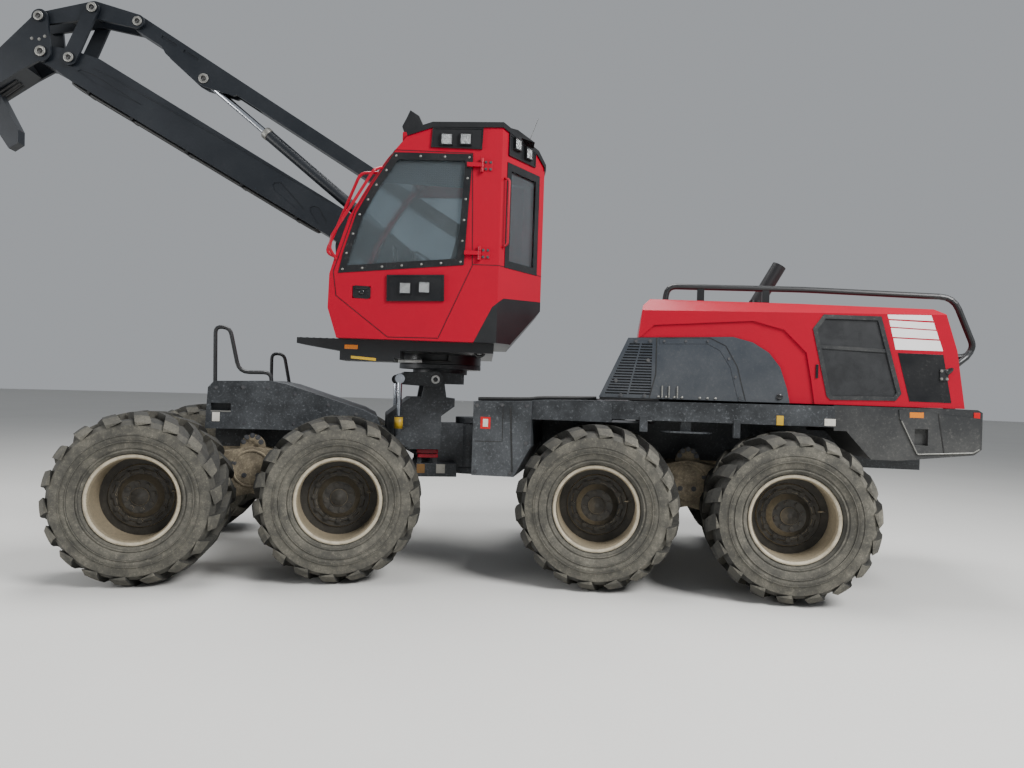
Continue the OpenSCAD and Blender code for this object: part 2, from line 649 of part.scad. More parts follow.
module cab_seat() color(black) at_platform() {
    floor_z = deck_top + cab_wall;
    translate([-60, -650, floor_z]) cylinder(r = 120, h = 350, $fn = 32);
    translate([-330, -900, floor_z + 350]) cube([520, 500, 120]);
    side_plate(480, -650) polygon([[150, floor_z + 420], [230, floor_z + 420], [330, 3300], [230, 3330],
                                   [60, floor_z + 470]]);
    for (y = [-860, -440]) translate([-220, y - 30, floor_z + 560]) cube([400, 60, 60]);
}
module cab_guard() color(red) at_platform() difference() {
    y = -cab_left + 60;
    tube_path([[-850, y, 2790], [-985, y, 2830], [-700, y, 3560], [-490, y, 3570]], 14);
    cab_solid(0);
}
module cab_door() color(red) at_platform() difference() {
    union() {
        difference() {
            side_plate(cab_wall, -cab_left + cab_wall / 2) polygon(inset(door_outline, door_gap));
            side_plate(cab_wall * 2, -cab_left + cab_wall / 2) polygon(door_pane);
            translate([-727, -cab_left - 1, 2431]) cube([161, 26, 109]);
        }
        translate([0, -cab_left, 0])
            lamp_panel([[-421, 2640], [-415, 2419], [80, 2437], [74, 2659]], [[-260, 2532], [-92, 2545]]);
        for (z = hinge_zs) translate([door_pin[0], door_pin[1], z]) {
            cylinder(r = knuckle_r, h = knuckle_h - 2, center = true, $fn = 32);
            translate([-135, -12, 2 - knuckle_h / 2]) cube([135, 16, knuckle_h - 4]);
            translate([-135, -12, 2 - knuckle_h / 2]) cube([50, 36, knuckle_h - 4]);
        }
    }
    for (z = hinge_zs) translate([door_pin[0], door_pin[1], z])
        cylinder(r = 8 + fit, h = 100, center = true, $fn = 32);
}
module door_window() color(glass) at_platform() side_plate(pane_t, -cab_left + cab_wall / 2)
    polygon(door_pane);

// Main boom
module boom() color(crane_blue) at_boom() {
    boom_box();
    pin_across(pin_h, 35, boom_w - 20);
}
module boom_box() difference() {
    base_r = 120;
    union() {
        side_plate(boom_w) {
            polygon([[0, -base_r], [700, -150], [1400, -100], [4700, -100], [4830, -85], [pin_b[0], -95],
                     [pin_b[0], 95],
                     [pin_c[0] + 60, 190], [4500, 265], [1500, 240], [600, 230], [0, base_r]]);
            circle(r = base_r, $fn = 48);
            translate(pin_b) circle(r = 95, $fn = 48);
        }
        both_sides() side_plate(plate_t, 90) bar([lift_u, -90], 130, [lift_u, lift_w], 60);
    }
    side_plate(170) polygon([[-300, -300], [140, -60], [1150, 60], [1450, 120], [1450, 400], [-300, 400]]);
    both_sides() side_plate(16, boom_w / 2) {
        polygon([[4640, 30], [4615, 60], [4446, 90], [3838, 72], [4400, 10]]);
        polygon([[1745, 13], [1820, -32], [2141, 17], [2190, 60], [2186, 93], [2121, 133]]);
        polygon([[1460, -20], [1500, -48], [1560, -45], [1690, 20], [1712, 62], [1685, 100], [1626, 112],
                 [1480, 30]]);
    }
    pin_across([0, 0], boom_pin_r + fit, 400);
    pin_across(pin_b, tip_pin_r + fit, 400);
    pin_across(pin_c, tip_pin_r + fit, 400);
}
module lift_way() {
    foot = lift_foot;
    at_crane() translate([foot[0], 0, foot[1]]) rotate([0, lift_turn(), 0]) children();
}
function boom_point(p) = [g_x - p[0] * cos(boom_rise) + p[1] * sin(boom_rise),
                          g_z + p[0] * sin(boom_rise) + p[1] * cos(boom_rise)];
function lift_run() = boom_point([lift_u, lift_w]) - lift_foot;
function lift_turn() = atan2(lift_run()[0], lift_run()[1]);
lift_len = norm(lift_run());
module lift_barrel() color(crane_blue) lift_way() difference() {
    union() {
        rotate([90, 0, 0]) cylinder(r = 60, h = 130, center = true, $fn = 48);
        cylinder(r = 75, h = 760, $fn = 48);
    }
    rotate([90, 0, 0]) cylinder(r = 35 + fit, h = 200, center = true, $fn = 48);
    translate([0, 0, 90]) cylinder(r = 45 + fit, h = 800, $fn = 48);
}
module lift_rod() color(steel) lift_way() {
    translate([0, 0, 400]) cylinder(r = 45, h = lift_len - 400, $fn = 48);
    translate([0, 0, lift_len]) rotate([90, 0, 0]) cylinder(r = 55, h = 110, center = true, $fn = 48);
}

// Lever at the boom's foot and the tie rod that it holds
module tie_lever() color(crane_blue) at_boom() {
    inner = boom_w / 2 + pass + 50 + pass;
    difference() {
        both_sides() side_plate(plate_t, inner + plate_t / 2) bar([0, 0], 100, pin_k, 70);
        pin_across([0, 0], boom_pin_r + fit, 600);
    }
    pin_across([0, pin_k[1] * 0.62], 40, 2 * inner + 10);
}
tie_w = 160;
// Shallow slots in the tie rod's sides, by their distance from its outer pin
tie_slots = [384, 668];
module tie_rod() color(crane_blue) at_boom() difference() {
    union() {
        side_plate(tie_w) bar(pin_e, 80, pin_k, 70);
        both_sides() side_plate(30, tie_w / 2 - 15)
            polygon([for (p = [[-420, 60], [-380, 10], [-50, -72], [50, -74],
            [500, 20], [640, 110], [-420, 110]]) pin_f + p]);
    }
    pin_across(pin_e, tip_pin_r + fit, 400);
    side_plate(94) polygon([for (p = [[-700, -300], [260, -300], [260, 150], [-700, 130]]) pin_f + p]);
    both_sides() side_plate(16, tie_w / 2) for (along = tie_slots)
        polygon([for (p = [[-95, -5], [95, 1], [95, 31], [-95, 25]]) pin_e - [along, along * 0.034] + p]);
}
module rocker() color(crane_blue) at_boom() {
    difference() {
        both_sides() side_plate(plate_t + 5, 105) {
            bar(pin_a, 70, pin_d, 95);
            bar(pin_d, 95, pin_e, 75);
        }
        pin_across(pin_d, tip_pin_r + fit, 400);
    }
    pin_across(pin_e, tip_pin_r, 210);
    pin_across((pin_a + pin_d) / 2, 40, 200);
}
module short_links() color(crane_blue) at_boom() {
    outer = boom_w / 2 + pass;
    both_sides() side_plate(plate_t, outer + plate_t / 2) bar(pin_c, 80, pin_d, 70);
    for (p = [pin_c, pin_d]) pin_across(p, tip_pin_r, 2 * outer + 2 * plate_t + 24);
}
function stick_run() = pin_f - pin_h;
stick_cyl_len = norm(stick_run());
module stick_cyl_way() at_boom() translate([pin_h[0], 0, pin_h[1]])
    rotate([0, 90 - atan2(stick_run()[1], stick_run()[0]), 0]) children();
module stick_barrel() color(crane_blue) stick_cyl_way() difference() {
    union() {
        rotate([90, 0, 0]) cylinder(r = 60, h = 150, center = true, $fn = 48);
        cylinder(r = 62, h = 2560, $fn = 48);
    }
    rotate([90, 0, 0]) cylinder(r = 35 + fit, h = 200, center = true, $fn = 48);
    translate([0, 0, 90]) cylinder(r = 35 + fit, h = 2600, $fn = 48);
}
module stick_rod() color(steel) stick_cyl_way() {
    translate([0, 0, 1500]) cylinder(r = 35, h = stick_cyl_len - 1500, $fn = 48);
    translate([0, 0, stick_cyl_len]) rotate([90, 0, 0]) cylinder(r = 58, h = 78, center = true, $fn = 48);
}

// Stick, from its pin at the origin along X, and the telescope inside it
ear_in = boom_w / 2 + pass;
ear_a = [-194, 330];
box_x = 230;
box_z0 = -55;
box_z1 = 165;
box_t = 20;
module stick() color(crane_blue) at_stick() {
    both_sides() side_plate(plate_t, ear_in + plate_t / 2) {
        bar([0, 0], 105, ear_a, 85, 0.5);
        polygon([ear_a + [0, 55], [350, 270], [900, box_z1], [900, box_z0], [300, box_z0], [0, -75]]);
    }
    both_sides() side_plate(12, ear_in + plate_t + 6) translate(ear_a) circle(r = 60, $fn = 48);
    pin_across([0, 0], tip_pin_r, 2 * ear_in + 2 * plate_t + 24);
    difference() {
        side_plate(2 * ear_in) polygon([[box_x, box_z0], [stick_len, box_z0], [stick_len, box_z1],
                                        [900, box_z1],
                                        [350, 262], [box_x, 262]]);
        translate([600, -stick_w / 2 + box_t, box_z0 + box_t])
            cube([stick_len, stick_w - 2 * box_t, box_z1 - box_z0 - 2 * box_t]);
        both_sides() translate([900, stick_w / 2, box_z0 - 1]) cube([stick_len, 100, 400]);
    }
    side_plate(120) polygon([[650, box_z0 + 10], [900, box_z0 + 10], [900, -640], [780, -640],
                             [700, -520]]);
}
tip_x = stick_len + 240;
tip_z = (box_z0 + box_z1) / 2;
tele_x = 800;
module telescope() color(crane_blue) at_stick() {
    w = stick_w - 2 * box_t - 2 * pass;
    h = box_z1 - box_z0 - 2 * box_t - 2 * pass;
    pad = pass - seat;
    translate([tele_x, -w / 2, tip_z - h / 2]) cube([stick_len + 130 - tele_x, w, h]);
    translate([tele_x, -w / 2 - pad, tip_z - h / 2 - pad]) cube([120, w + 2 * pad, h + 2 * pad]);
    side_plate(90) bar([stick_len + 100, tip_z], 70, [tip_x, tip_z], 60);
    pin_across([tip_x, tip_z], 30, 170);
}

// Rotator and harvester head, hanging from the telescope's tip
function stick_point(p) = boom_point(pin_b) + p[0] * [-cos(stick_fall), -sin(stick_fall)]
    + p[1] * [-sin(stick_fall), cos(stick_fall)];
tip = stick_point([tip_x, tip_z]);
rotator_drop = 200;
rotator_h = 260;
yoke_len = 480;
yoke_in = 310;
yoke_top = -rotator_drop - rotator_h - pass;
yoke_drop = yoke_len + 110 - yoke_top;
module at_tip() at_crane() translate([tip[0], 0, tip[1]]) children();
module rotator() color(black) at_tip() {
    difference() {
        union() {
            both_sides() side_plate(30, 66) bar([0, 0], 60, [0, -rotator_drop + 30], 75);
            translate([-90, -90, -rotator_drop - 22]) cube([180, 180, 64]);
        }
        pin_across([0, 0], 30 + fit, 300);
    }
    difference() {
        translate([0, 0, -rotator_drop - rotator_h]) cylinder(r = 130, h = rotator_h - 10, $fn = 48);
        translate([0, 0, -rotator_drop - rotator_h - 1]) cylinder(r = 50 + fit, h = 131, $fn = 48);
    }
}
module head_yoke() color(black) at_tip() difference() {
    union() {
        translate([0, 0, yoke_top - 60]) cylinder(r = 150, h = 60, $fn = 48);
        translate([0, 0, yoke_top - 60]) cylinder(r = 50, h = 60 + pass + 100, $fn = 48);
        translate([-110, -yoke_in - 40, yoke_top - 110]) cube([220, 2 * yoke_in + 80, 60]);
        both_sides() side_plate(40, yoke_in + 20) bar([0, yoke_top - 70], 100, [0, -yoke_drop], 95);
    }
    pin_across([0, -yoke_drop], 40 + fit, 900);
}
// The head lies level, its knives towards -X and its saw box towards +X
module at_head() at_tip() translate([0, 0, -yoke_drop]) children();
knife_x = -400;
knife_t = 60;
knife_pin = [240, -80];
knife_mid = [0, -310];
roller_place = [180, 345];
roller_top = -126;
roller_len = 300;
module across_head(x, t) translate([x, 0, 0]) rotate([90, 0, 90])
    linear_extrude(height = t, center = true) children();
module head_frame() color(red) at_head() {
    difference() {
        union() {
            side_plate(400) polygon([[-334, -90], [530, -90], [530, 60], [300, 150], [-200, 150],
                                     [-334, 80]]);
            translate([-466, -150, -60]) cube([150, 300, 120]);
            translate([520, -230, -330]) cube([420, 460, 400]);
            for (s = [-1, 1]) across_head(knife_x + s * (knife_t / 2 + pass + 15), 30) {
                bar(knife_pin, 55, [100, 0], 60);
                bar([-knife_pin[0], knife_pin[1]], 55, [-100, 0], 60);
            }
        }
        both_sides() translate([knife_x, knife_pin[0], knife_pin[1]]) rotate([0, 90, 0])
            cylinder(r = 25 + fit, h = 200, center = true, $fn = 32);
    }
    pin_across([0, 0], 40, 2 * yoke_in + 70);
    both_sides() {
        translate([0, 0, roller_top + pass]) linear_extrude(height = 40)
            bar([60, 150], 70, roller_place, 60);
        translate([roller_place[0], roller_place[1], roller_top - roller_len + 20])
            cylinder(r = 30, h = roller_len, $fn = 32);
    }
}
module knife(side) color(steel) at_head() scale([1, side, 1]) {
    across_head(knife_x, knife_t) {
        difference() {
            translate(knife_mid) circle(r = 355, $fn = 64);
            translate(knife_mid) circle(r = 310, $fn = 64);
            polygon([knife_mid, [160, -900], [-900, -900], [-900, 400], [245, 400], [245, -90]]);
        }
        translate(knife_pin) circle(r = 58, $fn = 48);
    }
    translate([knife_x, knife_pin[0], knife_pin[1]]) rotate([0, 90, 0])
        cylinder(r = 25, h = knife_t + 2 * pass + 60, center = true, $fn = 32);
}
module feed_roller(side) color(steel) at_head() scale([1, side, 1])
    translate([roller_place[0], roller_place[1], roller_top - roller_len]) difference() {
        cylinder(r = 150, h = roller_len, $fn = 48);
        translate([0, 0, 14]) cylinder(r = 30 + fit, h = roller_len, $fn = 32);
    }

for (n = [1 : 4]) {
    placed() tyre(-1, n);
    placed() tyre(1, n);
    placed() rim(-1, n);
    placed() rim(1, n);
}
placed() front_frame();
placed() front_axle();
placed() front_bodywork();
placed() front_rails();
placed() rear_frame();
placed() rear_axle();
placed() side_boxes();
placed() engine();
placed() rear_bumper();
placed() hood_shell();
placed() hood_panels();
placed() hood_screens();
placed() hood_rail();
placed() exhaust();
placed() levelling_frame();
placed() level_barrel();
placed() level_rod();
placed() slew_deck();
placed() crane_pillar();
placed() cab_shell();
placed() cab_roof();
placed() cab_windows();
placed() cab_seat();
placed() cab_guard();
placed() cab_door();
placed() door_window();
placed() boom();
placed() lift_barrel();
placed() lift_rod();
placed() tie_lever();
placed() tie_rod();
placed() rocker();
placed() short_links();
placed() stick_barrel();
placed() stick_rod();
placed() stick();
placed() telescope();
placed() rotator();
placed() head_yoke();
placed() head_frame();
placed() knife(-1);  // knife_left
placed() knife(1);  // knife_right
placed() feed_roller(-1);  // feed_roller_left
placed() feed_roller(1);  // feed_roller_right
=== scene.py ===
import math

import bmesh
import bpy
from bpy.props import FloatProperty, FloatVectorProperty, IntProperty, PointerProperty
from mathutils import Matrix, Vector


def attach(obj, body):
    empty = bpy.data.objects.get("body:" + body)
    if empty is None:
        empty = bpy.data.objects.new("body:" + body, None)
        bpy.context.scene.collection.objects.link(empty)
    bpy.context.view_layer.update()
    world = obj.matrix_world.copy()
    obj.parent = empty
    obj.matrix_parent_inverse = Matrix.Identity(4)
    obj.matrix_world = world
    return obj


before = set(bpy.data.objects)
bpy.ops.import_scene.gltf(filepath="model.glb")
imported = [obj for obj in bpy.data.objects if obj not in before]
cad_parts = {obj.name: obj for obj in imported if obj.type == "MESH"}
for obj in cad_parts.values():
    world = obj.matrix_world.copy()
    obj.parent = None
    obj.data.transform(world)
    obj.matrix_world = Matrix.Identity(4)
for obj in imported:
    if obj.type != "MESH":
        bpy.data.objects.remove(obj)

bl_info = {
    "name": "Forestry harvester dressing",
    "version": (1, 0, 0),
    "blender": (4, 5, 0),
    "location": "View3D > Sidebar > Harvester",
    "description": "Finishes, fasteners, lamps, hoses and trim of an eight-wheeled harvester",
    "category": "Object",
}

# colours and sizes


def linear(code):
    """An sRGB hex value as linear colour with full alpha."""
    parts = [int(code[i : i + 2], 16) / 255 for i in (1, 3, 5)]
    curve = [c / 12.92 if c <= 0.04045 else ((c + 0.055) / 1.055) ** 2.4 for c in parts]
    return (*curve, 1.0)


def colour_prop(name, code, description):
    """A colour that shows in the panel."""
    return FloatVectorProperty(name=name, description=description, subtype="COLOR", size=4,
                               min=0, max=1, default=linear(code))


def length_prop(name, metres, description):
    """A length that shows in the panel."""
    return FloatProperty(name=name, description=description, subtype="DISTANCE", unit="LENGTH",
                         min=0.0005, default=metres)


class HarvesterColours(bpy.types.PropertyGroup):
    """Colours of the machine's finishes."""

    red: colour_prop("Red", "#AC0026", "Enamel on the cab and the hood")
    chassis: colour_prop("Chassis", "#121416", "Sprayed black on frames, boxes and guards")
    crane: colour_prop("Crane", "#0A0F15", "Blue-black enamel on the crane")
    panel: colour_prop("Panels", "#20262D", "Moulded grey panels on the hood's sides")
    rubber: colour_prop("Rubber", "#1D1E1C", "Tyre rubber where no dust lies on it")
    dust: colour_prop("Dust", "#6F6E69", "Dry road dust")
    mud: colour_prop("Mud", "#9C9079", "Dried clay on the bogies")
    rim: colour_prop("Rims", "#C6BDA8", "Cream enamel on the flanges of the rims")
    stripe: colour_prop("Stripes", "#EFECEC", "White film of the stripes")


class HarvesterSizes(bpy.types.PropertyGroup):
    """Sizes of what repeats."""

    wheel_bolt: length_prop("Wheel bolt", 0.019, "Radius of a wheel bolt's head")
    trim_bolt: length_prop("Trim bolt", 0.012, "Radius of a bolt's head on panels and plates")
    pane_screw: length_prop("Pane screw", 0.009, "Radius of a screw in the door pane's border")
    hose: length_prop("Hose", 0.016, "Radius of a hydraulic hose")
    wheel_bolts: IntProperty(name="Bolts per wheel", min=6, max=24, default=12,
                             description="Bolts in the outer ring of a wheel disc")


class HarvesterLight(bpy.types.PropertyGroup):
    """The studio's light."""

    sky: FloatProperty(name="Sky", description="Strength of the even light from all round",
                       min=0, default=0.5)
    key: FloatProperty(name="Key", description="Power of the large lamp at the front",
                       subtype="POWER", unit="POWER", min=0, default=2600)


# places of the parts that carry the pieces, in millimetres, with the machine at rest


def turn(axis, degrees):
    return Matrix.Rotation(math.radians(degrees), 4, axis)


def move(x, y, z):
    return Matrix.Translation((x, y, z))


SIDES = (("left", -1), ("right", 1))
BOTH = (-1, 1)
MM = Matrix.Scale(0.001, 4)
HINGE = (1397, 219, 0)
REAR_TURN, SLEW_TURN = -19.4, -8.9
PLATFORM_X, CRANE_Y = -320, 650
BOOM_FOOT = (-60, 0, 2720)
BOOM_LENGTH, BOOM_RISE = 5057, 29.1
STICK_END, STICK_FALL = 2500, 35.0
TIP_PAST, TIP_UP, HEAD_DROP = 240, 55, 1056
AXLES, TRACK_HALF, AXLE_HEIGHT = (-2851, -1265, 1397, 2983), 1125, 695
LIFT_FOOT, LIFT_EYE = (-430, 0, 2215), (1150, 0, -215)

FRONT = MM @ move(*HINGE)
REAR = FRONT @ turn("Z", REAR_TURN)
PLATFORM = FRONT @ move(PLATFORM_X, 0, 0) @ turn("Z", SLEW_TURN)
CRANE = PLATFORM @ move(0, CRANE_Y, 0)
BOOM = CRANE @ move(*BOOM_FOOT) @ turn("Y", BOOM_RISE) @ Matrix.Diagonal((-1, 1, 1, 1))
STICK = BOOM @ move(BOOM_LENGTH, 0, 0) @ turn("Y", BOOM_RISE + STICK_FALL)
TIP_POINT = (STICK @ move(STICK_END + TIP_PAST, 0, TIP_UP)).to_translation()
TIP = move(*TIP_POINT) @ turn("Z", SLEW_TURN) @ MM
HEAD = TIP @ move(0, 0, -HEAD_DROP)


def wheel_place(s, number):
    """The middle of a wheel, its Z along the axle and outwards."""
    base = REAR if number > 2 else FRONT
    return base @ move(AXLES[number - 1], s * TRACK_HALF, AXLE_HEIGHT) @ turn("X", -90 * s)


def between(place, foot, eye):
    """A place with its Z from one point to another of the same plane."""
    foot, eye = Vector(foot), Vector(eye)
    way = (eye - foot).normalized()
    across = Vector((0, 1, 0))
    turned = Matrix((across.cross(way).normalized(), across, way)).transposed().to_4x4()
    return place @ Matrix.Translation(foot) @ turned


def wall(s, distance):
    """Places on an upright side wall, by how far they stand out of it."""
    return lambda out: s * (distance + out)


def facing(points, y, s):
    """Points (x, z) of a side wall, with the way outwards."""
    return [((x, y, z), (0, s, 0)) for x, z in points]


def grid(xs, zs):
    """All points of some columns and rows."""
    return [(x, z) for x in xs for z in zs]


# lines and shapes


def smooth_path(points, steps=6):
    """A smooth line through the points."""
    pts = [Vector(p) for p in points]
    ext = [2 * pts[0] - pts[1]] + pts + [2 * pts[-1] - pts[-2]]
    out = []
    for i in range(1, len(ext) - 2):
        a, b, c, d = ext[i - 1 : i + 3]
        for k in range(steps):
            t = k / steps
            square, cube = 2 * a - 5 * b + 4 * c - d, 3 * b - a - 3 * c + d
            out.append(0.5 * (2 * b + (c - a) * t + square * t * t + cube * t**3))
    return out + [pts[-1]]


def inset(outline, gap):
    """A convex outline, listed anticlockwise, moved inwards by a gap."""
    pts = [Vector(p) for p in outline]
    out = []
    for i, b in enumerate(pts):
        a, c = pts[i - 1], pts[(i + 1) % len(pts)]
        d1, d2 = (b - a).normalized(), (c - b).normalized()
        p1, p2 = a + Vector((-d1.y, d1.x)) * gap, b + Vector((-d2.y, d2.x)) * gap
        t = ((p2 - p1).x * d2.y - (p2 - p1).y * d2.x) / (d1.x * d2.y - d1.y * d2.x)
        out.append(tuple(p1 + d1 * t))
    return out


def along_edge(outline, pitch, gap):
    """Points at even steps just inside each edge of an outline."""
    inner = inset(outline, gap)
    out = []
    for p, q in zip(inner, inner[1:] + inner[:1]):
        steps = max(1, round(math.dist(p, q) / pitch))
        for k in range(steps):
            out.append((p[0] + (q[0] - p[0]) * k / steps, p[1] + (q[1] - p[1]) * k / steps))
    return out


class Shape:
    """Faces of one piece, drawn in millimetres in the place of the part that carries it."""

    def __init__(self, place):
        self.bm = bmesh.new()
        self.place = place
        self.finish = 0

    def use(self, finish):
        """Gives the next faces another of the piece's finishes, by its number."""
        self.finish = finish
        return self

    def _mark(self, faces, smooth=False):
        for f in faces:
            f.material_index = self.finish
            f.smooth = smooth

    def prism(self, outline, low, high, axis="Y", edge=0):
        """An outline carried from low to high along an axis, its edges eased by a bevel."""
        order = {"X": (2, 0, 1), "Y": (0, 2, 1), "Z": (0, 1, 2)}[axis]
        rings = []
        for t in (low, high):
            spots = [(a, b, t) for a, b in outline]
            rings.append([self.bm.verts.new([p[i] for i in order]) for p in spots])
        first, last = rings
        faces = [self.bm.faces.new(first), self.bm.faces.new(last[::-1])]
        n = len(outline)
        for i in range(n):
            j = (i + 1) % n
            faces.append(self.bm.faces.new((first[i], last[i], last[j], first[j])))
        self._mark(faces)
        bmesh.ops.recalc_face_normals(self.bm, faces=faces)
        if edge:
            edges = list({e for f in faces for e in f.edges})
            made = bmesh.ops.bevel(self.bm, geom=edges, offset=edge, segments=2, profile=0.6,
                                   affect="EDGES", clamp_overlap=True)
            self._mark(made["faces"])
        return self

    def block(self, low, high, edge=0):
        """A box between two corners, whose places across may come in either order."""
        (x0, y0, z0), (x1, y1, z1) = low, high
        outline = [(x0, z0), (x1, z0), (x1, z1), (x0, z1)]
        return self.prism(outline, min(y0, y1), max(y0, y1), edge=edge)

    def turned(self, profile, centre=(0, 0, 0), axis=(0, 0, 1), sides=40):
        """A closed profile of (radius, height) spun round an axis."""
        upright = Vector(axis).normalized().to_track_quat("Z", "Y").to_matrix()
        centre = Vector(centre)
        angles = [2 * math.pi * k / sides for k in range(sides)]
        rings = []
        for r, h in profile:
            ring = [0] if r < 1e-6 else angles
            spots = [(r * math.cos(a), r * math.sin(a), h) for a in ring]
            rings.append([self.bm.verts.new(centre + upright @ Vector(p)) for p in spots])
        pairs = list(zip(rings, rings[1:]))
        if len(rings[0]) > 1 and len(rings[-1]) > 1:
            pairs.append((rings[-1], rings[0]))
        faces = []
        for a, b in pairs:
            for k in range(sides):
                m = (k + 1) % sides
                if len(a) == 1 and len(b) == 1:
                    break
                if len(a) == 1:
                    corners = (a[0], b[k], b[m])
                elif len(b) == 1:
                    corners = (a[k], b[0], a[m])
                else:
                    corners = (a[k], b[k], b[m], a[m])
                faces.append(self.bm.faces.new(corners))
        self._mark(faces, True)
        bmesh.ops.recalc_face_normals(self.bm, faces=faces)
        return self

    def tube(self, points, radius, sides=12):
        """A round tube along a line of points."""
        pts = [Vector(p) for p in points]
        angles = [2 * math.pi * k / sides for k in range(sides)]
        normal = None
        rings = []
        for i, p in enumerate(pts):
            way = (pts[min(i + 1, len(pts) - 1)] - pts[max(i - 1, 0)]).normalized()
            if normal is None:
                normal = way.orthogonal().normalized()
            normal = (normal - way * normal.dot(way)).normalized()
            second = way.cross(normal)
            spots = [p + radius * (math.cos(a) * normal + math.sin(a) * second) for a in angles]
            rings.append([self.bm.verts.new(q) for q in spots])
        faces = [self.bm.faces.new(rings[0][::-1]), self.bm.faces.new(rings[-1])]
        for a, b in zip(rings, rings[1:]):
            for k in range(sides):
                m = (k + 1) % sides
                faces.append(self.bm.faces.new((a[k], a[m], b[m], b[k])))
        self._mark(faces, True)
        bmesh.ops.recalc_face_normals(self.bm, faces=faces)
        return self

    def border(self, outline, width, y0, y1):
        """A flat frame that follows an outline, width wide inwards."""
        inner = inset(outline, width)
        for i in range(len(outline)):
            j = (i + 1) % len(outline)
            self.prism([outline[i], outline[j], inner[j], inner[i]], y0, y1)
        return self

    def ribbon(self, line, width, y0, y1, edge=0):
        """A flat strip that follows a line."""
        left, right = [], []
        for i, p in enumerate(line):
            ahead, behind = line[min(i + 1, len(line) - 1)], line[max(i - 1, 0)]
            way = (Vector(ahead) - Vector(behind)).normalized() * width / 2
            left.append((p[0] - way.y, p[1] + way.x))
            right.append((p[0] + way.y, p[1] - way.x))
        return self.prism(left + right[::-1], y0, y1, edge=edge)

    def made(self, name, body, slot, *finishes):
        """The finished piece at the machine's place, riding on a body."""
        mesh = bpy.data.meshes.new(name)
        self.bm.transform(self.place)
        bmesh.ops.recalc_face_normals(self.bm, faces=self.bm.faces)
        self.bm.to_mesh(mesh)
        self.bm.free()
        for finish in finishes:
            mesh.materials.append(FINISHES[finish])
        return placed(name, mesh, body)


def placed(name, mesh, body):
    """A mesh as a piece of the machine, on its body."""
    piece = bpy.data.objects.new(name, mesh)
    bpy.context.scene.collection.objects.link(piece)
    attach(piece, body)
    return piece


# nodes


def wire(tree, node, links):
    """What goes into a node's sockets: the output of another node, or a plain value."""
    for socket, value in links.items():
        if isinstance(value, bpy.types.NodeSocket):
            tree.links.new(value, node.inputs[socket])
        else:
            node.inputs[socket].default_value = value
    return node


def add(tree, kind, links=None, **settings):
    """One node with its settings and what goes into its sockets."""
    node = tree.nodes.new(kind)
    for key, value in settings.items():
        setattr(node, key, value)
    return wire(tree, node, links or {})


# what repeats: bolts on points and tubes along lines, grown by geometry nodes

TREES = {}
FINISHES = {}


def new_tree(name, sizes, count):
    """A tree that takes geometry, sizes, a count and a finish; sizes hold names and defaults."""
    tree = bpy.data.node_groups.new(name, "GeometryNodeTree")
    face = tree.interface
    face.new_socket("Geometry", in_out="INPUT", socket_type="NodeSocketGeometry")
    for label, value in sizes.items():
        face.new_socket(label, in_out="INPUT", socket_type="NodeSocketFloat").default_value = value
    for label, value in count.items():
        face.new_socket(label, in_out="INPUT", socket_type="NodeSocketInt").default_value = value
    face.new_socket("Finish", in_out="INPUT", socket_type="NodeSocketMaterial")
    face.new_socket("Geometry", in_out="OUTPUT", socket_type="NodeSocketGeometry")
    return tree, add(tree, "NodeGroupInput").outputs


def end_tree(tree, shape, finish):
    """Makes the shape real, gives it its finish and puts it out."""
    real = add(tree, "GeometryNodeRealizeInstances", {"Geometry": shape})
    done = add(tree, "GeometryNodeSetMaterial", {"Geometry": real.outputs[0], "Material": finish})
    add(tree, "NodeGroupOutput", {0: done.outputs[0]})
    return tree


def bolt_tree():
    """Bolts on points: a washer and a head, turned to each point's outward direction."""
    sizes = {"Head radius": 0.012, "Head height": 0.009, "Washer radius": 0.017,
             "Washer height": 0.003}
    tree, given = new_tree("bolts on points", sizes, {"Head sides": 6})
    head = add(tree, "GeometryNodeMeshCylinder", {
        "Vertices": given["Head sides"], "Radius": given["Head radius"],
        "Depth": given["Head height"]})
    raised = add(tree, "ShaderNodeMath", {0: given["Head height"], 1: 0.5}, operation="MULTIPLY")
    lift = add(tree, "ShaderNodeCombineXYZ", {"Z": raised.outputs[0]})
    head_up = add(tree, "GeometryNodeTransform", {
        "Geometry": head.outputs["Mesh"], "Translation": lift.outputs[0]})
    washer = add(tree, "GeometryNodeMeshCylinder", {
        "Vertices": 16, "Radius": given["Washer radius"], "Depth": given["Washer height"]})
    both = add(tree, "GeometryNodeJoinGeometry", {0: head_up.outputs[0]})
    wire(tree, both, {0: washer.outputs["Mesh"]})
    outward = add(tree, "GeometryNodeInputNamedAttribute", {"Name": "outward"},
                  data_type="FLOAT_VECTOR")
    turned = add(tree, "FunctionNodeAlignRotationToVector", {"Vector": outward.outputs[0]},
                 axis="Z")
    bolts_on = add(tree, "GeometryNodeInstanceOnPoints", {
        "Points": given["Geometry"], "Instance": both.outputs[0], "Rotation": turned.outputs[0]})
    return end_tree(tree, bolts_on.outputs[0], given["Finish"])


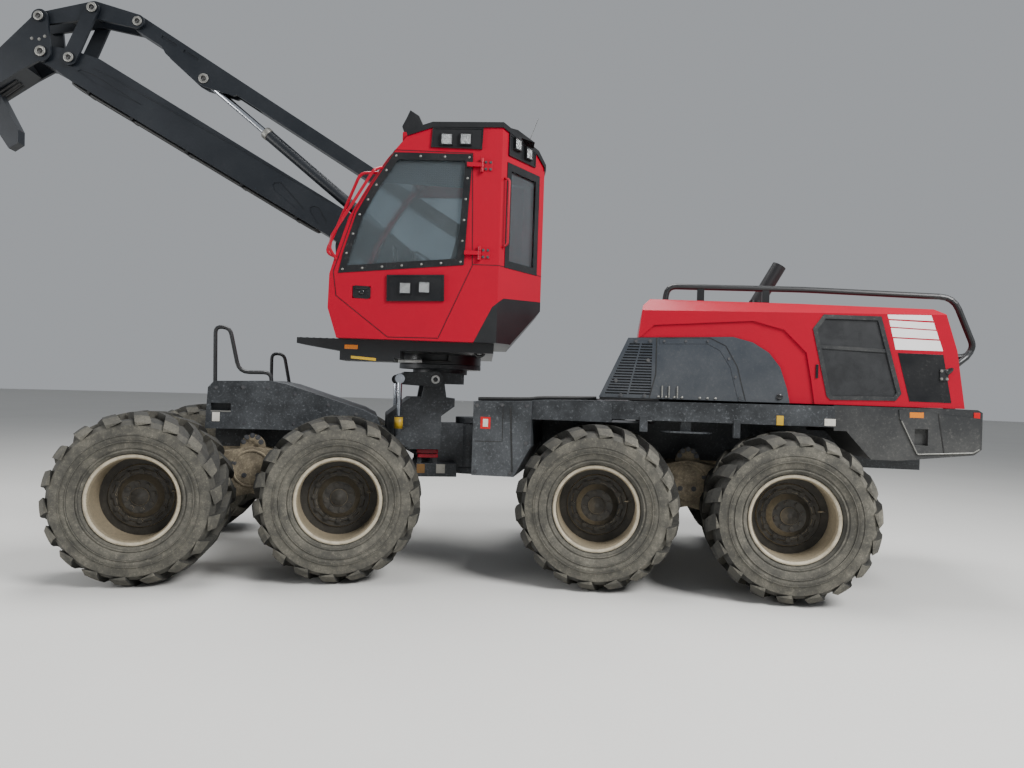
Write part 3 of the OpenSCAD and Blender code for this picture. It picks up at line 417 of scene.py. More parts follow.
def run_tree():
    """Tubes along drawn lines, their corners rounded: pipes, rods and hoses."""
    sizes = {"Tube radius": 0.016, "Bend radius": 0.05}
    tree, given = new_tree("tubes along lines", sizes, {"Sides": 12})
    line = add(tree, "GeometryNodeMeshToCurve", {"Mesh": given["Geometry"]})
    bent = add(tree, "GeometryNodeFilletCurve", {
        "Curve": line.outputs[0], "Radius": given["Bend radius"], "Limit Radius": True,
        "Count": 5}, mode="POLY")
    ring = add(tree, "GeometryNodeCurvePrimitiveCircle", {
        "Resolution": given["Sides"], "Radius": given["Tube radius"]}, mode="RADIUS")
    tube = add(tree, "GeometryNodeCurveToMesh", {
        "Curve": bent.outputs[0], "Profile Curve": ring.outputs[0], "Fill Caps": True})
    return end_tree(tree, tube.outputs[0], given["Finish"])


def grown(name, drawn, tree, inputs, body, smooth=False):
    """The mesh that a tree grows on a drawn one, as a plain piece."""
    seed = bpy.data.objects.new(name + "_seed", drawn)
    bpy.context.scene.collection.objects.link(seed)
    modifier = seed.modifiers.new("grow", "NODES")
    modifier.node_group = tree
    sockets = {s.name: s.identifier for s in tree.interface.items_tree
               if s.item_type == "SOCKET" and s.in_out == "INPUT"}
    for key, value in inputs.items():
        modifier[sockets[key]] = value
    bpy.context.view_layer.update()
    evaluated = seed.evaluated_get(bpy.context.evaluated_depsgraph_get())
    mesh = bpy.data.meshes.new_from_object(evaluated)
    bpy.data.objects.remove(seed)
    if not mesh.polygons:
        raise RuntimeError(name + " came out empty")
    mesh.name = name
    for f in mesh.polygons:
        f.use_smooth = smooth
    return placed(name, mesh, body)


def bolts(name, place, spots, body, finish, radius, height=None, sides=6,
          washer=1.45):
    """Bolt heads at (point, outward direction), in millimetres in a part's place."""
    drawn = bpy.data.meshes.new(name + "_points")
    drawn.from_pydata([place @ Vector(p) for p, _ in spots], [], [])
    ways = drawn.attributes.new("outward", "FLOAT_VECTOR", "POINT")
    for i, (_, way) in enumerate(spots):
        ways.data[i].vector = (place.to_3x3() @ Vector(way)).normalized()
    height = radius * 0.75 if height is None else height
    inputs = {"Head radius": radius, "Head height": height, "Washer radius": radius * washer,
              "Washer height": radius * 0.3, "Head sides": sides, "Finish": FINISHES[finish]}
    return grown(name, drawn, TREES["bolts"], inputs, body, sides > 8)


def runs(name, place, lines, body, finish, radius, bend=0.05, sides=12):
    """Tubes along lines of points, in millimetres in a part's place."""
    spots, edges = [], []
    for line in lines:
        first = len(spots)
        spots += [place @ Vector(p) for p in line]
        edges += [(first + i, first + i + 1) for i in range(len(line) - 1)]
    drawn = bpy.data.meshes.new(name + "_lines")
    drawn.from_pydata(spots, edges, [])
    inputs = {"Tube radius": radius, "Bend radius": bend, "Sides": sides,
              "Finish": FINISHES[finish]}
    return grown(name, drawn, TREES["runs"], inputs, body, True)


# kinds of finish; their sizes are in millimetres

SPECK, FILM, GLASS_FILM = 22, 1000 / 9, 250


def new_material(name):
    """A material, its tree, its shader and the object's own coordinates."""
    made = bpy.data.materials.new(name)
    made.use_nodes = True
    tree = made.node_tree
    place = add(tree, "ShaderNodeTexCoord").outputs["Object"]
    return made, tree, tree.nodes["Principled BSDF"], place


def noise(tree, place, size, detail, roughness=0.5):
    """Noise whose largest marks are about this size."""
    links = {"Vector": place, "Scale": 1000 / size, "Detail": detail, "Roughness": roughness}
    return add(tree, "ShaderNodeTexNoise", links).outputs[0]


def span(tree, value, low=0.0, high=1.0, to_low=0.0, to_high=1.0):
    """A value's range from low to high, spread over another range."""
    links = {"Value": value, "From Min": low, "From Max": high, "To Min": to_low,
             "To Max": to_high}
    return add(tree, "ShaderNodeMapRange", links).outputs[0]


def maths(tree, operation, first, second, clamp=False):
    """A sum, a product or another calculation on two values."""
    links = {0: first, 1: second}
    return add(tree, "ShaderNodeMath", links, operation=operation, use_clamp=clamp).outputs[0]


def mixed(tree, share, first, second):
    """A mix of two colours by the second one's share."""
    links = {0: share, 6: first, 7: second}
    return add(tree, "ShaderNodeMix", links, data_type="RGBA").outputs[2]


def shaded(tree, colour, strength):
    """A colour made darker or lighter by a strength."""
    links = {0: tuple(colour[:3]), "Scale": strength}
    return add(tree, "ShaderNodeVectorMath", links, operation="SCALE").outputs[0]


def weathered(name, tones, dust, lies, rough, grain, low=None, patch=300, bias=0.0, crust=0.0,
              coat=0.0, metallic=0.0, gloss=0.5, rounds=None):
    """A finish of two tones that shows through dust.

    lies: the dust's shares on tops, in patches and in specks; bias: its share everywhere
    low: two heights in metres and the share that lies below them; crust: its thickness
    rough: roughness clean and dusty; grain: its size and depth; patch: a patch's size
    rounds: a tone, and its share on faces that don't look along the axles
    """
    made, tree, shader, place = new_material(name)
    on_tops, in_patches, in_specks = lies
    broad = noise(tree, place, patch, 5, 0.6)
    fine = noise(tree, place, grain[0], 3)
    spot = noise(tree, place, SPECK, 6, 0.75)
    normal = add(tree, "ShaderNodeNewGeometry").outputs["Normal"]
    towards = add(tree, "ShaderNodeSeparateXYZ", {0: normal}).outputs
    top = span(tree, towards["Z"], 0.15, 0.95, to_high=on_tops)
    patches = span(tree, broad, 0.38, 0.72, to_high=in_patches)
    specks = span(tree, spot, 0.56, 0.66, to_high=in_specks)
    mask = maths(tree, "ADD", maths(tree, "ADD", top, patches), bias)
    if low:
        bottom, level, share = low
        height = add(tree, "ShaderNodeSeparateXYZ", {0: place}).outputs["Z"]
        mask = maths(tree, "ADD", mask, span(tree, height, bottom, level, share, 0))
    uneven = span(tree, spot, 0.3, 0.7, 0.65, 1.25)
    mask = maths(tree, "ADD", maths(tree, "MULTIPLY", mask, uneven), specks, clamp=True)
    lit_dust = shaded(tree, dust, span(tree, fine, 0.3, 0.7, 0.75, 1.15))
    colour = mixed(tree, mask, mixed(tree, broad, *tones), lit_dust)
    if rounds:
        tone, share = rounds
        aside = maths(tree, "ABSOLUTE", towards["Y"], 0.0)
        share = span(tree, aside, 0.8, 0.4, to_high=share)
        share = maths(tree, "MULTIPLY", share, uneven, clamp=True)
        colour = mixed(tree, share, colour, linear(tone))
    height = maths(tree, "MULTIPLY", fine, grain[1])
    if crust:
        height = maths(tree, "ADD", height, maths(tree, "MULTIPLY", mask, crust))
    bump = add(tree, "ShaderNodeBump", {"Height": height, "Distance": 0.001, "Strength": 0.9})
    wire(tree, shader, {
        "Base Color": colour, "Roughness": span(tree, mask, to_low=rough[0], to_high=rough[1]),
        "Normal": bump.outputs[0], "Metallic": metallic, "Specular IOR Level": gloss,
        "Coat Weight": coat, "Coat Roughness": 0.12})
    return made


def clear_glass(name, tint, rough=0.02):
    """Tinted toughened glass, with a faint dust film that dulls it in patches."""
    made, tree, shader, place = new_material(name)
    film = noise(tree, place, GLASS_FILM, 6, 0.7)
    wire(tree, shader, {
        "Base Color": shaded(tree, tint, span(tree, film, 0.35, 0.8, 1.0, 0.8)),
        "Roughness": span(tree, film, 0.4, 0.75, rough, 0.16),
        "IOR": 1.5, "Transmission Weight": 0.92})
    return made


def banded(name, tones, pitch, rough, depth, metallic=0.0, dust=None):
    """A surface with fine crossed bands: drawn rod, woven cloth or a slotted screen."""
    made, tree, shader, place = new_material(name)
    links = {"Vector": place, "Scale": 314 / pitch, "Distortion": 0.6, "Detail": 2}
    waves = [add(tree, "ShaderNodeTexWave", links, bands_direction=way).outputs[1] for way in "XZ"]
    both = maths(tree, "MULTIPLY", *waves)
    film = noise(tree, place, FILM, 6, 0.7)
    colour = mixed(tree, both, *tones)
    if dust:
        colour = mixed(tree, span(tree, film, 0.42, 0.75, to_high=0.5), colour, linear(dust))
    bump = add(tree, "ShaderNodeBump", {
        "Height": both, "Distance": depth / 1000, "Strength": 0.6})
    wire(tree, shader, {
        "Base Color": colour, "Roughness": span(tree, film, 0.3, 0.8, rough, rough + 0.25),
        "Metallic": metallic, "Normal": bump.outputs[0]})
    return made


# finishes

# Plain name: material's name, two tones, dust, its shares on tops, in patches and in specks,
# roughness clean and dusty, grain's size and depth, and what else. A tone is a hex value or a
# colour of the panel.
WEATHERED = {
    # Enamel over steel and moulded panels
    "red": ("red_enamel", "red", "#960020", "#A05A60", (0.05, 0.03, 0.03), (0.3, 0.55),
            (50, 0.03), dict(patch=500, coat=0.08, gloss=0.28)),
    # Satin black, freckled with splashes of clay and dust
    "chassis": ("dusty_chassis_black", "chassis", "#1C2024", "#6E7276", (0.32, 0.24, 0.55),
                (0.4, 0.9), (6, 0.3), dict(low=(0.7, 1.6, 0.3), patch=220)),
    # Cleaner black high on the cab's roof, rails and deck
    "black": ("black_enamel", "#0B0C0E", "#131518", "#4A4A49", (0.12, 0.07, 0.08), (0.4, 0.75),
              (30, 0.05), dict(patch=400, coat=0.15)),
    "crane": ("crane_enamel", "crane", "#0F161E", "#4C4D4D", (0.1, 0.08, 0.08), (0.4, 0.75),
              (30, 0.06), dict(patch=450, coat=0.08)),
    "panel": ("grained_grey_panel", "panel", "#2F3640", "dust", (0.25, 0.14, 0.12), (0.5, 0.85),
              (3.5, 0.2), dict(low=(1.5, 2.1, 0.14))),
    # Rubber, grey-brown with road dust on the walls, and near black on faces that don't look along
    # the axles: the tread and its lugs' sides
    "rubber": ("dusty_tyre_rubber", "rubber", "#2A2A28", "#7C786C", (0.12, 0.5, 0.35),
               (0.75, 0.95), (8, 0.6),
               dict(low=(0.0, 1.5, 0.06), patch=120, bias=0.2, rounds=("#1B1C1B", 0.85))),
    # Clay dried on cast and welded steel: rough, cracked, ochre
    "mud": ("dried_clay_on_steel", "#4A4236", "#3A342A", "mud", (0.4, 0.7, 0.5), (0.7, 0.98),
            (6, 1.2), dict(patch=100, bias=0.32, crust=2)),
    # Dark wheel disc under a brown film, and the dusty barrel round it
    "disc": ("dusty_wheel_steel", "#1D1B18", "#2A2722", "#57534A", (0.3, 0.4, 0.35), (0.6, 0.92),
             (6, 0.5), dict(patch=120, bias=0.04, rounds=("#8E826B", 0.8))),
    "rim": ("cream_rim_enamel", "rim", "#B0A58E", "#776C58", (0.1, 0.5, 0.35), (0.5, 0.9),
            (6, 0.3), dict(patch=90)),
    # Bare steel polished by timber
    "steel": ("timber_worn_steel", "#8A8781", "#6E6A63", "#6B5C48", (0.2, 0.4, 0.2), (0.35, 0.8),
              (4, 0.4), dict(patch=80, metallic=0.85)),
    "zinc": ("dull_zinc_bolts", "#9A9A96", "#7F7E79", "dust", (0.3, 0.4, 0.2), (0.4, 0.85),
             (3, 0.2), dict(patch=50, metallic=0.7)),
    "dark_bolt": ("dusty_black_bolts", "#34353A", "#43454A", "#75736E", (0.3, 0.4, 0.3),
                  (0.5, 0.9), (3, 0.2), dict(patch=50, metallic=0.3)),
    # White reflectors and diodes behind the lens
    "lamp": ("lamp_reflector", "#F2F3F2", "#DADBD8", "#C9C6BE", (0.0, 0.1, 0.0), (0.12, 0.4),
             (20, 0.05), dict(patch=50, coat=0.6)),
    "seal": ("black_rubber_seal", "#0E0F10", "#17181A", "#5E5B55", (0.3, 0.15, 0.1), (0.45, 0.8),
             (4, 0.1), dict(patch=200)),
    "hose": ("woven_cover_hose", "#0F1011", "#191A1B", "#4A4946", (0.2, 0.15, 0.1), (0.5, 0.85),
             (3, 0.3), dict(patch=100)),
    # Printed film: white stripes, and plates left blank
    "stripe": ("white_film", "stripe", "#E2DEDE", "#B9AFA8", (0.1, 0.12, 0.05), (0.3, 0.6),
               (50, 0.02), dict(coat=0.3)),
    "plate": ("blank_black_plate", "#0D0E10", "#141518", "#5B5A57", (0.2, 0.12, 0.1), (0.22, 0.6),
              (50, 0.02), dict(coat=0.3)),
    "label": ("blank_pale_label", "#D9D7CF", "#C4C0B4", "#8F897C", (0.1, 0.4, 0.3), (0.4, 0.8),
              (10, 0.05), {}),
    "yellow": ("yellow_film", "#D9B11E", "#C29A18", "#8F7F58", (0.2, 0.3, 0.2), (0.35, 0.7),
               (10, 0.05), {}),
    "ochre": ("ochre_plate", "#B07A2A", "#8F6426", "#8F7F68", (0.2, 0.4, 0.2), (0.4, 0.8),
              (10, 0.05), {}),
    "orange": ("orange_marker_lens", "#E8850C", "#C96F0A", "#8F7058", (0.1, 0.15, 0.1),
               (0.15, 0.5), (10, 0.05), dict(coat=0.6)),
    "reflector": ("red_reflector", "#B00C10", "#C81216", "#805048", (0.1, 0.15, 0.1),
                  (0.12, 0.5), (6, 0.3), dict(coat=0.6)),
    "white": ("white_enamel_cylinder", "#D6D8D8", "#C2C3C0", "#8F897C", (0.2, 0.3, 0.3),
              (0.3, 0.7), (20, 0.05), dict(coat=0.2)),
    "grey_plastic": ("grained_trim_plastic", "#15171A", "#1E2124", "dust", (0.25, 0.18, 0.25),
                     (0.45, 0.85), (4, 0.2), dict(low=(1.1, 1.7, 0.2))),
    "paper": ("pale_studio_floor", "#D2D1CD", "#CDCCC8", "#C9C8C4", (0.0, 0.2, 0.0), (0.8, 0.9),
              (20, 0.02), dict(patch=3000)),
}
# Plain name: material's name, two tones, the bands' pitch, roughness, depth and what else
BANDED = {
    "chrome": ("ground_chrome_rod", "#D8DCE2", "#B8BDC6", 2, 0.08, 0.02, dict(metallic=1.0)),
    "screen": ("slotted_black_screen", "#0C0D0F", "#23262A", 8, 0.42, 0.8, dict(dust="#2C2E31")),
    "blind": ("grey_pleated_blind", "#3C4550", "#2A323C", 20, 0.8, 2, {}),
    "cloth": ("woven_seat_cloth", "#16171A", "#2A2C31", 4, 0.9, 0.8, {}),
}
NODE_FINISHES = {
    "rubber": ["tyre"],
    "disc": ["rim"],
    "chassis": ["front_frame", "front_bodywork", "rear_frame", "side_boxes", "engine",
                "levelling_frame", "level_barrel"],
    "mud": ["front_axle", "rear_axle"],
    "black": ["front_rails", "hood_rail", "exhaust", "slew_deck", "cab_roof", "rotator",
              "head_yoke"],
    "grey_plastic": ["rear_bumper"],
    "red": ["hood_shell", "cab_shell", "cab_guard", "cab_door", "head_frame"],
    "panel": ["hood_panels"],
    "screen": ["hood_screens"],
    "chrome": ["level_rod", "lift_rod", "stick_rod"],
    "crane": ["crane_pillar", "boom", "lift_barrel", "tie_lever", "tie_rod", "rocker",
              "short_links", "stick_barrel", "stick", "telescope"],
    "glass": ["cab_windows", "door_window"],
    "cloth": ["cab_seat"],
    "steel": ["knife_left", "knife_right", "feed_roller_left", "feed_roller_right"],
}


def make_finishes(colours):
    """All finishes by the plain name that the pieces ask for."""

    def tone(code):
        return linear(code) if code.startswith("#") else tuple(getattr(colours, code))

    for key, (name, base, second, dust, lies, rough, grain, more) in WEATHERED.items():
        tones = (tone(base), tone(second))
        FINISHES[key] = weathered(name, tones, tone(dust), lies, rough, grain, **more)
    for key, (name, base, second, pitch, rough, depth, more) in BANDED.items():
        FINISHES[key] = banded(name, (tone(base), tone(second)), pitch, rough, depth, **more)
    FINISHES["glass"] = clear_glass("tinted_cab_glass", linear("#B9C6CC"))
    FINISHES["lens"] = clear_glass("lamp_lens", linear("#F4F6F7"), 0.01)


class HARVESTER_OT_finishes(bpy.types.Operator):
    """Makes the finishes and puts them on the CAD nodes"""

    bl_idname = "harvester.finishes"
    bl_label = "Finishes"

    def execute(self, context):
        make_finishes(context.scene.harvester_colours)
        TREES["bolts"], TREES["runs"] = bolt_tree(), run_tree()
        finish_of = {node: key for key, nodes in NODE_FINISHES.items() for node in nodes}
        for name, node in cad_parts.items():
            kind = name.split("_")[0]
            finish = FINISHES[finish_of[kind if kind in ("tyre", "rim") else name]]
            if not node.material_slots:
                node.data.materials.append(finish)
            for slot in node.material_slots:
                slot.material = finish
        return {"FINISHED"}


# stage

CAMERA_SPOT = (0.344, -7.589, 1.667)
CAMERA_AHEAD, CAMERA_RISE, CAMERA_ROLL = (0.1886, 0.9821), 0.42, 1.86
SENSOR, FOCAL_PIXELS, PICTURE_WIDTH = 36, 749.6, 1024
LIT_POINT = (0, 0, 1.5)
# name, place, size and share of the key lamp's power
LAMPS = (("key", (8, -9, 10), 6, 1), ("fill", (-12, -3, 4), 6, 0.35), ("top", (1, 2, 13), 8, 0.6))
FLOOR_RADIUS, FLOOR_DEPTH = 90000, 20


def studio_floor():
    """A round pale floor that reaches the horizon."""
    floor = Shape(MM)
    profile = [(0, 0), (FLOOR_RADIUS, 0), (FLOOR_RADIUS, -FLOOR_DEPTH), (0, -FLOOR_DEPTH)]
    floor.turned(profile, sides=96)
    mesh = bpy.data.meshes.new("studio_floor")
    floor.bm.transform(floor.place)
    floor.bm.to_mesh(mesh)
    floor.bm.free()
    ground = bpy.data.objects.new("studio_floor", mesh)
    bpy.context.scene.collection.objects.link(ground)
    mesh.materials.append(FINISHES["paper"])


def studio_light(scene):
    """Even light from all round and three lamps that look at the machine."""
    light = scene.harvester_light
    sky = bpy.data.worlds.new("studio_sky")
    scene.world = sky
    sky.use_nodes = True
    back = sky.node_tree.nodes["Background"]
    back.inputs["Color"].default_value = linear("#DDE1E6")
    back.inputs["Strength"].default_value = light.sky
    for name, spot, size, share in LAMPS:
        lamp = bpy.data.lights.new(name, "AREA")
        lamp.shape, lamp.size, lamp.energy = "DISK", size, light.key * share
        holder = bpy.data.objects.new(name, lamp)
        scene.collection.objects.link(holder)
        holder.location = spot
        way = Vector(LIT_POINT) - Vector(spot)
        holder.rotation_euler = way.to_track_quat("-Z", "Y").to_euler()


def studio_camera(scene):
    """The camera where the photo was taken, rolled as it was held."""
    lens = bpy.data.cameras.new("view")
    lens.sensor_width, lens.clip_end = SENSOR, 500
    lens.lens = FOCAL_PIXELS * SENSOR / PICTURE_WIDTH
    view = bpy.data.objects.new("view", lens)
    scene.collection.objects.link(view)
    ahead = Vector((*CAMERA_AHEAD, math.tan(math.radians(CAMERA_RISE)))).normalized()
    right = ahead.cross(Vector((0, 0, 1))).normalized()
    upward = right.cross(ahead)
    cos, sin = math.cos(math.radians(CAMERA_ROLL)), math.sin(math.radians(CAMERA_ROLL))
    level, plumb = right * cos + upward * sin, upward * cos - right * sin
    turned = Matrix((level, plumb, -ahead)).transposed().to_4x4()
    view.matrix_world = Matrix.Translation(CAMERA_SPOT) @ turned
    scene.camera = view


class HARVESTER_OT_stage(bpy.types.Operator):
    """Floor, studio light and the camera that took the view"""

    bl_idname = "harvester.stage"
    bl_label = "Stage"

    def execute(self, context):
        studio_floor()
        studio_light(context.scene)
        studio_camera(context.scene)
        return {"FINISHED"}


# wheels

DISC = 35
RIM_FLANGE = [(361, 297), (364, 303), (362, 308), (352, 310), (341, 308), (338, 302), (332, 286),
              (329, 270), (331, 268), (336, 284), (342, 300), (355, 303)]
# radius, height and half the width of the ribs on a tyre's wall
WALL_RIBS = ((470, 353, 5), (520, 355, 4), (398, 330, 9))
INNER_BOLTS = 8


def ring_spots(count, radius, height, start=0.0):
    """Points round the Z axis that look along it."""
    angles = [start + 2 * math.pi * k / count for k in range(count)]
    return [((radius * math.cos(a), radius * math.sin(a), height), (0, 0, 1)) for a in angles]


def hub(place):
    """Hub cap, the disc's outer rim and the valve."""
    cap = [(0, 52), (70, 52), (74, 66), (68, 74), (30, 76), (26, 82), (0, 84)]
    rim = [(222, -3), (222, 14), (216, 20), (196, 20), (190, 14), (190, -3)]
    valve = [(236, 40, -2), (240, 42, 25), (262, 46, 52), (285, 50, 60)]
    shape = Shape(place)
    shape.turned([(r, DISC + h) for r, h in cap], sides=48)
    shape.turned([(r, DISC + h) for r, h in rim], sides=72)
    return shape.tube([(x, y, DISC + z) for x, y, z in valve], 6, 8)


class HARVESTER_OT_wheels(bpy.types.Operator):
    """Cream flange rings, bolt rings, hub caps and sidewall ribs of the eight wheels"""

    bl_idname = "harvester.wheels"
    bl_label = "Wheels"

    def execute(self, context):
        sizes = context.scene.harvester_sizes
        for side, s in SIDES:
            for number in (1, 2, 3, 4):
                place = wheel_place(s, number)
                tag = f"{side}_{number}"
                body = "wheel_" + tag
                flange = Shape(place).turned(RIM_FLANGE, sides=96)
                flange.made("rim_ring_" + tag, body, "dusty_paint", "rim")
                ribs = Shape(place)
                for r, h, w in WALL_RIBS:
                    rib = [(r - w, h - 8), (r - w, h + 1), (r - w / 2, h + 4), (r + w / 2, h + 4),
                           (r + w, h + 1), (r + w, h - 8)]
                    ribs.turned(rib, sides=96)
                ribs.made("tyre_ribs_" + tag, body, "tyre", "rubber")
                hub(place).made("hub_cap_" + tag, body, "dusty_paint", "disc")
                spots = ring_spots(sizes.wheel_bolts, 206, DISC + 20)
                spots += ring_spots(INNER_BOLTS, 108, DISC + 60, 0.2)
                bolts("wheel_bolts_" + tag, place, spots, body, "disc", sizes.wheel_bolt)
        return {"FINISHED"}


# front frame, bogies and platform

BOGIE_Y, BOGIE_HEIGHT, SADDLE_HEIGHT = 745, 880, 1100
BOGIES = (("front_chassis", FRONT, -2058), ("rear_chassis", REAR, 2190))
BODY_Y = 750
BODY_BOLTS = ((-2380, 1600), (-2150, 1610), (-1940, 1610), (-1700, 1560), (-1400, 1470),
              (-1150, 1390), (-2130, 1290), (-1700, 1290))
LEVEL_PINS = (-752, -405)


def pin_end(shape, x, z, y, s, radius):
    """A pin's end: a pale retaining ring, a dark centre and a grease nipple; finishes 0 and 1."""
    r = radius
    ring = [(r * 0.5, 0), (r * 0.92, 0), (r * 0.92, 8), (r * 0.86, 11), (r * 0.56, 11),
            (r * 0.5, 8)]
    centre = [(0, -2), (r * 0.52, -2), (r * 0.52, 3), (r * 0.4, 5), (r * 0.14, 5), (r * 0.12, 11),
              (0, 13)]
    shape.use(0).turned(ring, (x, y, z), (0, s, 0), 40)
    shape.use(1).turned(centre, (x, y, z), (0, s, 0), 32)


def bogies():
    """Bolts of the saddles and a raised ring on each bogie."""
    for body, place, middle in BOGIES:
        for side, s in SIDES:
            face = s * BOGIE_Y
            angles = [math.radians(d) for d in (15, 52, 90, 128, 165)]
            spots = [(middle + 78 * math.cos(a), SADDLE_HEIGHT + 78 * math.sin(a)) for a in angles]
            spots += [(middle + x, z) for x, z in ((-150, 930), (150, 930), (-60, 820), (60, 820))]
            bolts(f"bogie_bolts_{body}_{side}", place, facing(spots, face, s), body, "dark_bolt",
                  0.016)
            ring = [(150, -4), (172, -4), (172, 6), (166, 10), (154, 10), (150, 6)]
            raised = Shape(place).turned(ring, (middle, face, BOGIE_HEIGHT), (0, s, 0), 56)
            raised.made(f"bogie_ring_{body}_{side}", body, "dusty_paint", "mud")


def front_bodywork(bolt):
    """Steps, pale plates and bolts of the front bodywork."""
    steps = Shape(FRONT)
    for s in BOTH:
        steps.use(0).block((-2420, s * 672, 1384), (-2250, s * 752, 1396), 2)
        steps.use(1).block((-2405, s * 750, 1300), (-2342, s * 752, 1380))
    steps.made("front_steps", "front_chassis", "black_paint", "zinc", "label")
    spots = [spot for s in BOTH for spot in facing(BODY_BOLTS, s * BODY_Y, s)]
    bolts("front_body_bolts", FRONT, spots, "front_chassis", "dark_bolt", bolt)


def hinge_lock():
    """The lock at the hinge: a box and its plates, two red bars, and two marks."""
    lock = Shape(FRONT)
    for s in BOTH:
        lock.use(0).block((-560, s * 150, 770), (-150, s * 300, 905), 5)
        for x in (-548, -392):
            lock.block((x, s * 268, 900), (x + 44, s * 292, 1052), 2)
        lock.use(1).block((-559, s * 292, 1006), (-345, s * 324, 1046), 8)
        lock.block((-545, s * 292, 962), (-345, s * 324, 1000), 8)
        lock.use(2).block((-549, s * 300, 806), (-470, s * 302, 896))
        lock.use(3).block((-356, s * 300, 806), (-268, s * 302, 896))
    lock.made("hinge_lock", "front_chassis", "black_paint", "chassis", "red", "ochre", "label")


def deck():
    """Studs, markers, the box under the deck, its lifting hook and the small ram."""
    spots = [((-1200 + 58 * i, -1000 + 58 * j, 2076), (0, 0, 1))
             for i in range(9) for j in range(6)]
    bolts("deck_studs", PLATFORM, spots, "platform", "black", 0.011, 0.003, 12, 1.05)
    marks = Shape(PLATFORM)
    marks.block((-803, -1026, 1985), (-684, -1019, 2024), 3)
    marks.use(1).prism([(-743, 1925), (-519, 1910), (-519, 1886), (-743, 1901)], -1023, -1018)
    marks.use(2).block((-846, -1019, 1884), (-355, -690, 1990), 4)
    hook = [(58, -9), (40, -9), (34, 0), (40, 9), (58, 9), (62, 0)]
    marks.turned(hook, (411, -900, 2010), (0, 1, 0), 28)
    marks.block((380, -910, 2040), (442, -890, 2082), 2)
    marks.made("deck_markers", "platform", "black_paint", "orange", "yellow", "black")
    ram = Shape(PLATFORM).tube([(-418, -470, 1910), (-150, -470, 1916)], 17, 20)
    ram.use(1).tube([(-150, -470, 1916), (135, -470, 1924)], 9, 16)
    for x, z in ((-400, 1911), (120, 1923)):
        ram.block((x - 14, -484, z), (x + 14, -456, 1990), 2)
    ram.made("deck_ram", "platform", "worn_steel", "white", "seal")


class HARVESTER_OT_chassis(bpy.types.Operator):
    """Bolts, steps, markers and plates of the front frame, the bogies and the platform"""

    bl_idname = "harvester.chassis"
    bl_label = "Chassis"

    def execute(self, context):
        bogies()
        front_bodywork(context.scene.harvester_sizes.trim_bolt)
        hinge_lock()
        wrap = Shape(FRONT)
        for s in BOTH:
            sleeve = [(40, 1256), (41.5, 1256), (41.5, 1366), (40, 1366)]
            wrap.turned(sleeve, (LEVEL_PINS[0], s * 500, 0))
        wrap.made("level_barrel_labels", "level_cylinders", "black_paint", "yellow")
        deck()
        caps = Shape(FRONT)
        for x in LEVEL_PINS:
            for s in BOTH:
                pin_end(caps, x, 1741, s * 462, s, 46)
        caps.made("levelling_pin_caps", "levelling", "worn_steel", "white", "dark_bolt")
        return {"FINISHED"}


# hood and rear frame

HOOD_Y, RAIL_Y, BUMPER_Y, MARKER_Y, SILL_Y, BOX_Y, TAIL_X = 1100, 976, 1130, 1120, 1150, 1250, 4487
SCREEN_EDGE = [(3315, 1677), (3819, 1686), (3857, 1737), (3688, 2364), (3244, 2373), (3166, 2262),
               (3290, 1700)]
STRIPES = ([(3814, 2101), (4180, 2097), (4153, 2181), (3794, 2194)],
           [(3789, 2206), (4147, 2193), (4126, 2262), (3772, 2280)],
           [(3769, 2291), (4121, 2272), (4104, 2328), (3757, 2343)],
           [(3753, 2355), (4099, 2343), (4082, 2390), (3743, 2390)])
BLANK_PLATE = [(3932, 1675), (4254, 1672), (4183, 2066), (3832, 2074)]
PANEL_BOLTS = ((1687, 2125), (1810, 2128), (1932, 2128), (2113, 2132), (2298, 2135), (2478, 1990),
               (2536, 1834), (2580, 1660), (1797, 1959), (1524, 1775), (1571, 1650), (1772, 1650))
PANEL_STUDS = grid((1895, 1960, 2030, 2094, 2244, 2308, 2376), (1645,))
PANEL_RODS = (1925, 1984, 2054)
LOUVRE_SEAM = [(1865, 2156), (1866, 1841), (1816, 1634)]
ARCH_SEAM = [(1883, 2158), (2315, 2165), (2449, 2098), (2549, 1924), (2624, 1634)]
ARCH = [(1889, 2128), (2298, 2137), (2417, 2077), (2512, 1926), (2588, 1636)]
LOUVRES = [(1400, 1632), (1640, 2142), (1852, 2142), (1806, 1632)]
STAY_FOOT = grid((4170, 4212), (1868, 1932))
RAIL_BOLTS = ((2224, 2470), (2252, 2470), (2775, 2462), (2803, 2462), (4262, 2040), (4300, 2080))
BUMPER_LINE = ((3868, 1512), (3996, 1242), (4418, 1271), (4466, 1302))
BOX_BOLTS = ((330, 1520), (330, 940), (640, 940), (770, 1200), (770, 1530), (550, 1530))


def hood_side(side, s):
    """Stripes, plate, screen frame and catches of one side of the hood."""
    at = wall(s, HOOD_Y)
    film = Shape(REAR)
    for corners in STRIPES:
        film.prism(corners, at(-2), at(1.2))
    film.made("hood_stripes_" + side, "hood", "red_paint", "stripe")
    plate = Shape(REAR).prism(BLANK_PLATE, at(-4), at(3), edge=1)
    plate.made("hood_blank_plate_" + side, "hood", "black_paint", "plate")
    rim = Shape(REAR).border(inset(SCREEN_EDGE, -10), 34, at(-12), at(6))
    rim.ribbon([(3200, 2112), (3752, 2088)], 30, at(-12), at(2))
    rim.made("screen_frame_" + side, "hood", "black_paint", "grey_plastic")
    catch = Shape(REAR).block((3186, at(0), 1845), (3208, at(8), 1961), 3)
    knob = [(0, 0), (26, 0), (26, 8), (18, 13), (0, 13)]
    catch.turned(knob, (2900, at(0), 1677), (0, s, 0), 24)
    catch.made("hood_catches_" + side, "hood", "black_paint", "plate")


